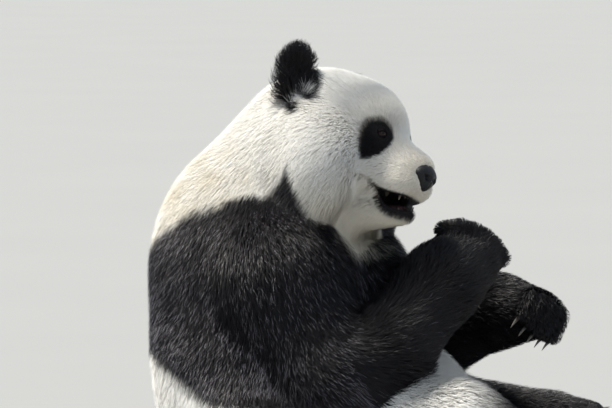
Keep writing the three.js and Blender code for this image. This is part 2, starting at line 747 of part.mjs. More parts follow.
function addHindLegNodes(side) {
  const { hip, knee, ankle, ball: toes, heel, radii: r } = HIND_LEGS[side];
  const [vHip, vKnee, vAnkle] = [hip, knee, ankle].map(vec);
  const shin = vAnkle.clone().sub(vKnee).normalize();
  const sole = vec(heel).lerp(vec(toes), 0.5);
  const { foot, shank } = REACHES;
  const start = sole.clone().addScaledVector(shin, -foot.before);
  const footTool = bar(start, sole, foot.thick, foot.thin, 0, foot.past);
  const made = addFlesh(`hind_foot_${side}`, footTool, FINE.paw, BLACK);
  addClaws(made, `hind_claw_${side}`, DIGITS.map((i) => hindDigit(side, i)), CLAW.hind);
  const shankThick = [r.knee + shank.knee, r.ankle + shank.ankle];
  const shankTool = bar(vKnee, vAnkle, ...shankThick, shank.before, shank.past);
  addFlesh(`shank_${side}`, shankTool, FINE.body, BLACK);

  const outside = beyond(vec(PARTING.thigh[side].at), vec(PARTING.thigh[side].way));
  addFlesh(`thigh_${side}`, both(outside, beyond(vHip, vKnee.clone().sub(vHip))), FINE.body, WHITE);
}

function addTrunkNodes() {
  addFlesh("tail", block([-300, -80, 0], [PARTING.tail, 80, 140]), FINE.tail, WHITE);
  addFlesh("neck", block([-300, -320, PARTING.neck], [420, 320, 1000]), FINE.body, WHITE);
  addFlesh("trunk", block([-300, -330, 0], [560, 330, PARTING.neck - GAP]), FINE.body, WHITE);
}

addEyes();
addFace();
for (const side of Object.keys(SIDES)) addForelegNodes(side);
for (const side of Object.keys(SIDES)) addHindLegNodes(side);
addTrunkNodes();

export default panda;
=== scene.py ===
"""Giant panda, sitting: skin, coat, face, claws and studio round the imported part.

All sizes are in metres unless a name or comment says millimetres. +X is forward and +Z is up.
"""

import logging
import math
from dataclasses import dataclass
from enum import Enum
from typing import Callable, Dict, Iterable, List, Optional, Sequence, Tuple

import bpy
import numpy as np
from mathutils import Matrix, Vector


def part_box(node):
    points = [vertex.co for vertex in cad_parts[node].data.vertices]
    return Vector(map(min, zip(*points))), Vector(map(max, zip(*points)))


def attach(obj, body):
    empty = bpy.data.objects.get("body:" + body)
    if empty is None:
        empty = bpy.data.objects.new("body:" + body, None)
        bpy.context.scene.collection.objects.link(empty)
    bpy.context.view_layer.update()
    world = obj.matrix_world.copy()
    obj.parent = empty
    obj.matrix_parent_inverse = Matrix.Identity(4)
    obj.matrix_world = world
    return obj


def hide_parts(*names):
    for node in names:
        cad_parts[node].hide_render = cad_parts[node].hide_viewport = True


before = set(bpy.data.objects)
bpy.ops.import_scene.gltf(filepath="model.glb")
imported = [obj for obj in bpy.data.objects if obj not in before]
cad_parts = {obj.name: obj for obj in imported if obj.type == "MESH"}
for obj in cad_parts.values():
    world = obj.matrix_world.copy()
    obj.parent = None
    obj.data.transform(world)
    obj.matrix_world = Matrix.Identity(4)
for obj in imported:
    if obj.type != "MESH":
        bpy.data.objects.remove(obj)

log = logging.getLogger("panda")
Array = np.ndarray
Piece = bpy.types.Object
Material = bpy.types.Material
Triple = Tuple[float, float, float]
Six = Tuple[float, float, float, float, float, float]
Field = Callable[[Array], Array]
MM = 0.001
SIDES = {"right": -1.0, "left": 1.0}
DIGITS = (-2, -1, 0, 1, 2)
HEAD_REACH = 0.26  # half of a box round the head, in its own frame


class Region(Enum):
    """The parts of the coat, each grown with its own kind of tuft."""

    TRUNK = "trunk"
    NECK = "neck"
    TAIL = "tail"
    HEAD = "head"
    FACE = "face"
    EAR_RIGHT = "ear_right"
    EAR_LEFT = "ear_left"
    ARM_RIGHT = "arm_right"
    ARM_LEFT = "arm_left"
    FOREARM_RIGHT = "forearm_right"
    FOREARM_LEFT = "forearm_left"
    LEG_RIGHT = "leg_right"
    LEG_LEFT = "leg_left"
    FOOT_RIGHT = "foot_right"
    FOOT_LEFT = "foot_left"


# -------------------------------- small vector helpers


def mm(values: Sequence[float]) -> Array:
    """Millimetres as an array of metres."""
    return np.asarray(values, np.float64) * MM


def unit(v: Array) -> Array:
    """Vectors scaled to length one along their last axis."""
    return v / np.maximum(np.linalg.norm(v, axis=-1, keepdims=True), 1e-9)


def smoothstep(low: float, high: float, x: Array) -> Array:
    """Zero below low, one above high, and a smooth cubic between."""
    t = np.clip((x - low) / (high - low), 0.0, 1.0)
    return t * t * (3.0 - 2.0 * t)


def join(a: Array, b: Array, blend: float) -> Array:
    """Smooth minimum: where two distances differ by less than the blend, the lower is lowered further."""
    h = np.maximum(blend - np.abs(a - b), 0.0) / blend
    return np.minimum(a, b) - h * h * blend / 4.0


def carve(a: Array, b: Array, blend: float) -> Array:
    """Smooth maximum, the mirror image of join."""
    return -join(-a, -b, blend)


def turned(axis: str, degrees: float) -> Array:
    """Rotation matrix about X or Z.

    Args:
        axis: x or z.
        degrees: turn to the left, seen against the axis.

    Returns:
        The matrix.
    """
    c, s = math.cos(math.radians(degrees)), math.sin(math.radians(degrees))
    if axis == "x":
        return np.array([[1, 0, 0], [0, c, -s], [0, s, c]])
    return np.array([[c, -s, 0], [s, c, 0], [0, 0, 1]])


def axes_of(forward: Array, up: Array) -> Array:
    """Frame from two directions.

    Args:
        forward: the first column, once it has length one.
        up: the direction towards which the third column leans.

    Returns:
        Matrix whose columns are forward, the left of it, and up.
    """
    x = unit(np.asarray(forward, float))
    z = unit(up - x * float(np.dot(up, x)))
    return np.stack([x, np.cross(z, x), z], axis=1)


def ripple(p: Array, pitch: float, phase: float) -> Array:
    """Smooth wandering value: the mean of three sine waves that cross at a slant.

    Args:
        p: places.
        pitch: length of a wave.
        phase: shift of the waves, so that two ripples don't match.

    Returns:
        One value between about -1 and 1 for each place.
    """
    q = p * (2.0 * math.pi / pitch)
    a = np.sin(q[:, 0] * 0.9 + q[:, 2] * 0.5 + phase)
    b = np.sin(q[:, 1] * 1.1 - q[:, 0] * 0.6 + 2.0 * phase)
    c = np.sin(q[:, 2] * 1.2 + q[:, 1] * 0.7 + 3.0 * phase)
    return (a + b + c) / 3.0


def everywhere(way: Array) -> Field:
    """Hair that lies the same way at every place."""
    return lambda p: np.broadcast_to(way, p.shape)


# -------------------------------- the form of the animal


@dataclass
class Blob:
    """One piece of the form: how it blends, and the coat it grows.

    Args:
        region: part of the coat.
        blend: width of the smooth join with what lies under it.
        coat: depth from the tips of the coat to the skin.
        length: length of a tuft.
        width: width of a tuft at its root.
        lie: the way the hair points, as a function of place.
    """

    region: Region
    blend: float
    coat: float
    length: float
    width: float
    lie: Field

    def distance(self, p: Array) -> Array:
        """Signed distance to the blob's own surface."""
        raise NotImplementedError


@dataclass
class Egg(Blob):
    """An ellipsoid in any position."""

    centre: Array = None
    radii: Array = None
    axes: Array = None

    def distance(self, p: Array) -> Array:
        """k(k-1)/m, where k is the length of q over the radii and m that of q over their squares.

        Args:
            p: places, of which q are the same in the ellipsoid's own frame.

        Returns:
            Signed distance, exact near the surface.
        """
        q = (p - self.centre.astype(p.dtype)) @ self.axes.astype(p.dtype)
        k = np.sqrt(((q / self.radii.astype(p.dtype)) ** 2).sum(1))
        m = np.sqrt(((q / (self.radii**2).astype(p.dtype)) ** 2).sum(1))
        return k * (k - 1.0) / np.maximum(m, 1e-6)


@dataclass
class Cone(Blob):
    """A round cone: two balls and the cone that touches both."""

    start: Array = None
    end: Array = None
    thick: float = 0.1
    thin: float = 0.1

    def distance(self, p: Array) -> Array:
        """Distance in the plane through the axis: to either ball, or to the slanted side between them.

        Args:
            p: places.

        Returns:
            Signed distance.
        """
        reach = self.end - self.start
        length = float(np.linalg.norm(reach))
        rel = p - self.start.astype(p.dtype)
        along = rel @ (reach / length).astype(p.dtype)
        across = np.sqrt(np.maximum((rel * rel).sum(1) - along * along, 0.0))
        slope = (self.thick - self.thin) / length
        flat = math.sqrt(1.0 - slope * slope)
        k = flat * along - slope * across
        low = np.hypot(across, along) - self.thick
        high = np.hypot(across, along - length) - self.thin
        side = flat * across + slope * along - self.thick
        return np.where(k < 0.0, low, np.where(k > flat * length, high, side))


@dataclass(frozen=True)
class Foreleg:
    """Joints of a foreleg, in millimetres, with the way the closed paw grips and faces."""

    girdle: Triple
    shoulder: Triple
    elbow: Triple
    midarm: Triple
    wrist: Triple
    paw: Triple
    radii: Six
    grip: Triple
    palm: Triple


@dataclass(frozen=True)
class HindLeg:
    """Joints of a hind leg, in millimetres."""

    hip: Triple
    knee: Triple
    ankle: Triple
    heel: Triple
    ball: Triple
    radii: Six


FORELEGS = {
    "right": Foreleg(
        (60, -130, 558), (85, -168, 515), (185, -240, 318),
        (305, -205, 375), (408, -122, 492), (462, -62, 528),
        (98, 118, 92, 88, 84, 86), (0.72, 0.39, -0.57), (-0.3, 0.92, 0.24),
    ),
    "left": Foreleg(
        (60, 130, 558), (110, 168, 515), (330, 215, 325),
        (430, 175, 362), (535, 125, 405), (608, 86, 404),
        (98, 118, 92, 90, 78, 70), (0.72, 0.39, -0.57), (-0.45, -0.86, -0.24),
    ),
}
HIND_LEGS = {
    "right": HindLeg(
        (60, -150, 155), (430, -228, 200), (645, -258, 112), (684, -262, 70), (712, -272, 152),
        (160, 118, 110, 82, 75, 56),
    ),
    "left": HindLeg(
        (60, 150, 155), (400, 215, 172), (660, 248, 136), (703, 252, 70), (733, 262, 142),
        (158, 106, 98, 84, 75, 56),
    ),
}


@dataclass(frozen=True)
class HeadFrame:
    """Where the head is held: u forward, v to the animal's left and w up from the middle of the braincase.

    Args:
        centre: middle of the braincase, in millimetres.
        turn: degrees that the face turns to the animal's right.
        tilt: degrees that the crown leans to the animal's left.
    """

    centre: Triple = (199, -15, 787)
    turn: float = 32.0
    tilt: float = 20.0

    @property
    def axes(self) -> Array:
        """Columns u, v and w in the part's own frame."""
        return turned("z", -self.turn) @ turned("x", -self.tilt)

    def point(self, at: Sequence[float]) -> Array:
        """A place in the head, given in millimetres, as a place in the part."""
        return mm(self.centre) + self.axes @ mm(at)

    def way(self, v: Sequence[float]) -> Array:
        """A direction in the head as one in the part."""
        return self.axes @ np.asarray(v, float)

    def local(self, p: Array) -> Array:
        """Places in the part as places in the head, in metres."""
        return (p - mm(self.centre)) @ self.axes

    def out(self, local: Array) -> Array:
        """Places in the head, in metres, as places in the part."""
        return local @ self.axes.T + mm(self.centre)


HEAD = HeadFrame()
# Places in the head's own frame, in millimetres; a gaze is a direction.
EYE_GAZE = (0.82, 0.56, 0.05)
NOSE_AT = (222.0, 0.0, -86.0)
NOSE_RADII = (19.0, 33.0, 26.0)
MOUTH_CORNER = (138.0, -112.0)
MUZZLE_TIP = (238.0, 0.0, -68.0)
EARS_AT = {"right": (-36.0, -136.0, 70.0), "left": (-58.0, 136.0, 84.0)}
EAR_RADII = (26.0, 53.0, 79.0)


def fore_digit(side: str, i: int) -> Dict[str, Array]:
    """Where a digit of a closed forepaw lies, how thick it is and where its claw points.

    The digits stand side by side along the grip and fold from the back of the paw over to the palm.

    Args:
        side: right or left.
        i: which digit, from -2 to 2.

    Returns:
        Its root, its tip, the directions of claw and palm, and its radius.
    """
    leg = FORELEGS[side]
    grip = unit(np.array(leg.grip))
    palm = np.array(leg.palm)
    palm = unit(palm - grip * float(palm @ grip))
    reach = np.cross(grip, palm) * -SIDES[side]
    r = leg.radii[5] * MM
    middle = mm(leg.paw) + grip * (i * 0.33 * r)
    fall = 1.0 - 0.05 * i * i
    tip = middle + palm * (0.78 * r * fall) + reach * (0.22 * r)
    return {
        "root": middle + reach * (0.7 * r * fall),
        "tip": tip,
        "claw": unit(-reach + palm * 0.25),
        "palm": palm,
        "thick": 0.27 * r,
    }


def hind_digit(side: str, i: int) -> Dict[str, Array]:
    """Where a toe of a hind foot lies, how thick it is and where its claw points.

    Args:
        side: right or left.
        i: which toe, from -2 to 2.

    Returns:
        Its root, its tip, the directions of claw and foot's top, and its radius.
    """
    leg = HIND_LEGS[side]
    ball = mm(leg.ball)
    up = unit(ball - mm(leg.heel))
    across = unit(np.cross(up, np.array([1.0, 0.0, 0.0])))
    front = np.cross(across, up)
    root = ball + across * (i * 21 * MM) + front * (6 * MM)
    tip = root + up * ((30 - 3 * i * i) * MM) + across * (i * 3 * MM)
    return {"root": root, "tip": tip, "claw": unit(up + front * 0.55), "palm": front, "thick": 21 * MM}


@dataclass
class Mouth:
    """The open mouth, seen from the side: a wedge whose edges fall away from the corner and level out.

    Args:
        corner: forward and up, in millimetres of the head's own frame.
        upper_drop: how far the upper edge falls in the end.
        upper_run: length over which it does most of its fall.
        lower_drop: how far the lower edge falls.
        lower_run: length over which it does.
        half_width: from the middle to either side.
        reach: from the corner to the front.
    """

    corner: Tuple[float, float] = MOUTH_CORNER
    upper_drop: float = 0.024
    upper_run: float = 0.030
    lower_drop: float = 0.046
    lower_run: float = 0.014
    half_width: float = 0.095
    reach: float = 0.12

    def distance(self, local: Array) -> Array:
        """How far a place is over the upper edge, under the lower, behind the corner or past a side, at most.

        Args:
            local: places in the head's own frame.

        Returns:
            Distances, below zero in the gap.
        """
        x = local[:, 0] - self.corner[0] * MM
        run = np.maximum(x, 0.0)
        top = self.corner[1] * MM - self.upper_drop * (1.0 - np.exp(-run / self.upper_run))
        low = self.corner[1] * MM - self.lower_drop * (1.0 - np.exp(-run / self.lower_run))
        gap = np.maximum(local[:, 2] - top, (low - local[:, 2]) * 0.8)
        sides = np.maximum(np.abs(local[:, 1]) - self.half_width, x - self.reach)
        return np.maximum(np.maximum(gap, -x * 0.6), sides)

    def under(self, local: Array) -> Array:
        """One below the middle of the gap, zero above it."""
        return smoothstep(0.012, 0.03, self.corner[1] * MM - local[:, 2])


class Form:
    """The whole animal as a smooth union of blobs that runs out to the tips of the coat.

    A kind, in the methods below, is a region with its coat's depth and its tufts' length and width, in
    millimetres.
    """

    WEIGHT_REACH = 0.017  # distance over which a blob's share in a place fades
    FLOOR_PAD = 0.009  # the skin's height over the floor
    FLOOR_BLEND = 0.012
    SOCKET_BLEND = 0.003
    MOUTH_BLEND = 0.004
    MOUTH_INSET = 0.0015
    THIN_EYE = (0.034, 0.78)  # distance over which the coat thins, and by what share
    THIN_NOSE = (0.036, 0.6)
    THIN_LIPS = (0.012, 0.6)
    BATCH = 150000  # places measured at once

    def __init__(self) -> None:
        """Lays out every blob, in the order in which they are joined."""
        self.blobs: List[Blob] = []
        self.hollows: List[Egg] = []
        self.mouth = Mouth()
        self.eyes = {side: np.mean(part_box("eye_" + side), axis=0) for side in SIDES}
        self.nose = HEAD.point(NOSE_AT)
        self.socket = self._hollow(HEAD.point((228, 0, -86)), (21, 30, 23), HEAD.axes)
        self._trunk()
        for side in SIDES:
            self._foreleg(side)
            self._hind_leg(side)
        self._head()
        self.regions = [b.region for b in self.blobs]
        self.table = np.array([[b.coat, b.length, b.width] for b in self.blobs], np.float32)

    def _cone(self, kind: tuple, start: Array, end: Array, thick: float, thin: float, blend: float,
              lie: Optional[Sequence[float]] = None) -> None:
        """Adds a round cone, with hair that lies along it unless a lie is given.

        Args:
            kind: region and coat.
            start: middle of the first ball.
            end: middle of the second.
            thick: radius of the first ball, in millimetres.
            thin: radius of the second.
            blend: width of the join, in millimetres.
            lie: the way of the hair.
        """
        region, *coat = kind
        way = everywhere(unit(np.array(lie, float)) if lie is not None else unit(end - start))
        self.blobs.append(Cone(region, blend * MM, *mm(coat), way, start, end, thick * MM, thin * MM))

    def _egg(self, kind: tuple, centre: Array, radii: Sequence[float], blend: float,
             lie: Field, axes: Optional[Array] = None) -> None:
        """Adds an ellipsoid.

        Args:
            kind: region and coat.
            centre: its middle.
            radii: its three radii, in millimetres.
            blend: width of the join, in millimetres.
            lie: the way of the hair.
            axes: its own frame, or none where it stands straight.
        """
        region, *coat = kind
        axes = np.eye(3) if axes is None else axes
        self.blobs.append(Egg(region, blend * MM, *mm(coat), lie, centre, mm(radii), axes))

    @staticmethod
    def _hollow(centre: Array, radii: Sequence[float], axes: Array, blend: float = 0.0) -> Egg:
        """An ellipsoid that is carved away and so grows no coat; its radii are in millimetres."""
        return Egg(Region.FACE, blend, 0, 0, 0, everywhere(np.zeros(3)), centre, mm(radii), axes)

    def _trunk(self) -> None:
        """Chest, abdomen, rump, belly, breast, neck and tail."""
        def down(x: float) -> Field:
            """Hair that falls, leaning forward by x."""
            return everywhere(unit(np.array([x, 0.0, -1.0])))

        kind = (Region.TRUNK, 35, 48, 1.5)
        self._egg(kind, mm([38, 0, 490]), (230, 222, 235), 60, down(-0.1))
        self._egg(kind, mm([65, 0, 310]), (252, 252, 200), 80, down(-0.1))
        self._egg(kind, mm([45, 0, 160]), (205, 258, 175), 80, down(-0.3))
        self._egg(kind, mm([195, 0, 230]), (290, 232, 175), 80, down(0.45))
        self._egg(kind, mm([240, 0, 505]), (115, 140, 95), 60, down(0.1))
        neck = (Region.NECK, 32, 38, 1.3)
        self._cone(neck, mm([45, 0, 600]), mm([145, -8, 752]), 190, 160, 80, lie=(-0.3, 0.0, -0.95))
        self._cone((Region.TAIL, 22, 42, 1.8), mm([-140, 0, 72]), mm([-205, 0, 44]), 40, 36, 25)

    def _foreleg(self, side: str) -> None:
        """Shoulder, upper arm, forearm and closed paw.

        Args:
            side: right or left.
        """
        leg = FORELEGS[side]
        girdle, shoulder, elbow, midarm, wrist, paw = (
            mm(at) for at in (leg.girdle, leg.shoulder, leg.elbow, leg.midarm, leg.wrist, leg.paw)
        )
        r = leg.radii
        arm = (Region["ARM_" + side.upper()], 32, 48, 1.4)
        fore = (Region["FOREARM_" + side.upper()], 25, 36, 1.3)
        self._cone(arm, girdle, shoulder, r[0], r[1], 70, lie=(0.25, SIDES[side] * 0.35, -0.9))
        self._cone(arm, shoulder, elbow, r[1], r[2], 60)
        near_lie, far_lie = unit(midarm - elbow) + [0, 0, -0.45], unit(wrist - midarm) + [0, 0, -0.35]
        self._cone(fore, elbow, midarm, r[2] - 4, r[3], 30, lie=near_lie)
        self._cone(fore, midarm, wrist, r[3], r[4], 30, lie=far_lie)
        hand = (Region["FOREARM_" + side.upper()], 14, 20, 1.3)
        self._cone(hand, wrist, paw, r[4], 0.82 * r[5], 30)
        for i in DIGITS:
            digit = fore_digit(side, i)
            thick = float(digit["thick"]) / MM
            self._cone((hand[0], 8, 13, 1.1), digit["root"], digit["tip"], thick, thick, 14)

    def _hind_leg(self, side: str) -> None:
        """Thigh, shank, foot and toes.

        Args:
            side: right or left.
        """
        leg = HIND_LEGS[side]
        hip, knee, ankle, heel, ball = (mm(at) for at in (leg.hip, leg.knee, leg.ankle, leg.heel, leg.ball))
        r = leg.radii
        thigh = (Region["LEG_" + side.upper()], 33, 44, 1.5)
        shank = (Region["LEG_" + side.upper()], 28, 38, 1.4)
        foot = (Region["FOOT_" + side.upper()], 13, 18, 1.3)
        self._cone(thigh, hip, knee, r[0], r[1], 60, lie=(0.75, SIDES[side] * 0.1, -0.65))
        self._cone(shank, knee, ankle, r[2], r[3], 30, lie=(0.85, 0.0, -0.5))
        self._cone(foot, ankle, heel, r[3] - 4, r[4], 20, lie=(0.3, 0.0, -0.9))
        self._cone(foot, heel, ball, r[4] - 8, r[5], 30)
        for i in DIGITS:
            toe = hind_digit(side, i)
            self._cone((foot[0], 8, 13, 1.1), toe["root"], toe["tip"], 21, 18, 12)

    def ear_axes(self, side: str) -> Array:
        """Frame of an ear, whose dished face looks forward and out.

        Args:
            side: right or left.

        Returns:
            Columns along the dish's own way, to the left of it and up the ear.
        """
        s = SIDES[side]
        out = math.radians(35) * s
        return axes_of(HEAD.way([math.cos(out), math.sin(out), 0.05]), HEAD.way([-0.19, -0.1 * s, 1.0]))

    def ear_point(self, side: str, at: Sequence[float]) -> Array:
        """A place in an ear's frame, given in millimetres."""
        return HEAD.point(EARS_AT[side]) + self.ear_axes(side) @ mm(at)

    def _head(self) -> None:
        """Skull, cheeks, muzzle, jaw and ears. The hair runs back from the nose and down over the cheeks."""
        tip = HEAD.point(MUZZLE_TIP)
        sink = HEAD.way([0.0, 0.0, -1.0])

        def back(fall: float) -> Field:
            """Hair that runs away from the muzzle's tip and falls by a share."""
            return lambda p: unit(p - tip) + sink * fall

        crown_lie, cheek_lie, ruff_lie = back(0.15), back(1.2), back(2.2)

        skull = (Region.HEAD, 15, 21, 0.95)
        brow = (Region.HEAD, 11, 15, 0.85)
        cheek = (Region.HEAD, 18, 25, 0.95)
        ruff = (Region.HEAD, 24, 33, 1.0)
        muzzle = (Region.FACE, 7, 9, 0.7)
        lip = (Region.FACE, 4, 7, 0.75)

        def egg(kind: tuple, at: Sequence[float], radii: Sequence[float], blend: float,
                lie: Field = crown_lie) -> None:
            """An ellipsoid that stands straight in the head."""
            self._egg(kind, HEAD.point(at), radii, blend, lie, HEAD.axes)

        egg(skull, [-5, 0, 0], (128, 135, 124), 50)
        egg(brow, [70, 0, 10], (80, 98, 92), 40)
        for s, ruff_at, radii in ((-1, [35, -105, -122], (75, 70, 84)), (1, [12, 102, -106], (70, 66, 78))):
            egg(cheek, [30, s * 98, -78], (95, 90, 98), 60, cheek_lie)
            egg(ruff, ruff_at, radii, 40, ruff_lie)
        egg(cheek, [15, 0, -134], (90, 90, 76), 30, ruff_lie)

        def along(kind: tuple, a: Sequence[float], b: Sequence[float], thick: float, thin: float,
                  blend: float) -> None:
            """A round cone between two places of the head."""
            self._cone(kind, HEAD.point(a), HEAD.point(b), thick, thin, blend)
            self.blobs[-1].lie = crown_lie

        for s in SIDES.values():
            along(muzzle, [92, s * 24, -60], [178, s * 13, -84], 66, 46, 45)
        along(muzzle, [100, 0, -30], [206, 0, -66], 44, 27, 25)
        for s in SIDES.values():
            egg(lip, [182, s * 26, -106], (42, 30, 26), 20)
        egg((Region.FACE, 3, 5, 0.7), NOSE_AT, NOSE_RADII, 8)
        along((Region.FACE, 9, 13, 0.9), [60, 0, -148], [189, 0, -161], 62, 26, 20)
        for side in SIDES:
            base, axes = self.ear_point(side, [0, 0, -80]), self.ear_axes(side)
            ear, middle = (Region["EAR_" + side.upper()], 14, 24, 1.0), self.ear_point(side, [0, 0, 0])
            self._egg(ear, middle, EAR_RADII, 10, lambda p, base=base: unit(p - base), axes)
            self.hollows.append(self._hollow(self.ear_point(side, [36, 0, 6]), (24, 37, 50), axes, 16 * MM))

    def _joined(self, apart: Iterable[Array], p: Array) -> Array:
        """Joins the blobs' distances one after another and carves the hollows out.

        Args:
            apart: the distance to each blob, in order.
            p: the places themselves.

        Returns:
            Distances to the tips of the coat.
        """
        level = None
        for blob, d in zip(self.blobs, apart):
            level = d if level is None else join(level, d, blob.blend)
        for hollow in self.hollows:
            level = carve(level, -hollow.distance(p), hollow.blend)
        return level

    def tips(self, p: Array) -> Array:
        """Distance to the tips of the coat."""
        return self._joined((blob.distance(p) for blob in self.blobs), p)

    def read(self, p: Array) -> Tuple[Array, Array]:
        """Distance to the tips, and each blob's share in the place, which fades with its distance.

        Args:
            p: places, one in a row.

        Returns:
            The distances, and the shares as one row for each blob.
        """
        apart = np.stack([b.distance(p) for b in self.blobs]).astype(np.float32)
        share = np.exp(-(apart - apart.min(0)) / self.WEIGHT_REACH)
        return self._joined(apart, p), share / share.sum(0)

    def coat_depth(self, p: Array, share: Array) -> Array:
        """Depth of the coat: the blobs' own, thinner round the eyes, the nose and the lips.

        Each of these takes a share off, times e to the power of minus the square of distance over reach.

        Args:
            p: places.
            share: each blob's share in them.

        Returns:
            Depths.
        """
        depth = self.table[:, 0] @ share
        thin = [(np.linalg.norm(p - eye, axis=1), self.THIN_EYE) for eye in self.eyes.values()]
        thin.append((np.linalg.norm(p - self.nose, axis=1), self.THIN_NOSE))
        thin.append((np.abs(self.mouth.distance(HEAD.local(p))), self.THIN_LIPS))
        for far, (reach, loss) in thin:
            depth = depth * (1.0 - loss * np.exp(-((far / reach) ** 2)))
        return depth

    def skin(self, p: Array) -> Array:
        """Distance to the skin: that to the tips plus the coat's depth, flat on the floor, open at the mouth.

        Args:
            p: places.

        Returns:
            Distances, below zero in the flesh.
        """
        out = np.empty(len(p), np.float32)
        for part in np.array_split(np.arange(len(p)), max(1, len(p) // self.BATCH)):
            q = p[part].astype(np.float32)
            level, share = self.read(q)
            level = level + self.coat_depth(q, share)
            level = carve(level, self.FLOOR_PAD - q[:, 2], self.FLOOR_BLEND)
            level = carve(level, -self.socket.distance(q), self.SOCKET_BLEND)
            gap = self.mouth.distance(HEAD.local(q)) - self.MOUTH_INSET
            out[part] = carve(level, -gap, self.MOUTH_BLEND)
        return out


def slope(f: Callable[[Array], Array], p: Array, step: float = 0.0008) -> Array:
    """Gradient from four samples at the corners of a small tetrahedron.

    Args:
        f: the value, as a function of place.
        p: places.
        step: half the side of the box round the tetrahedron.

    Returns:
        One vector for each place.
    """
    corners = np.array([[1, -1, -1], [-1, -1, 1], [-1, 1, -1], [1, 1, 1]], np.float32)
    total = np.zeros_like(p)
    for corner in corners:
        total += f(p + corner * step)[:, None] * corner
    return total / (4.0 * step)


# -------------------------------- markings


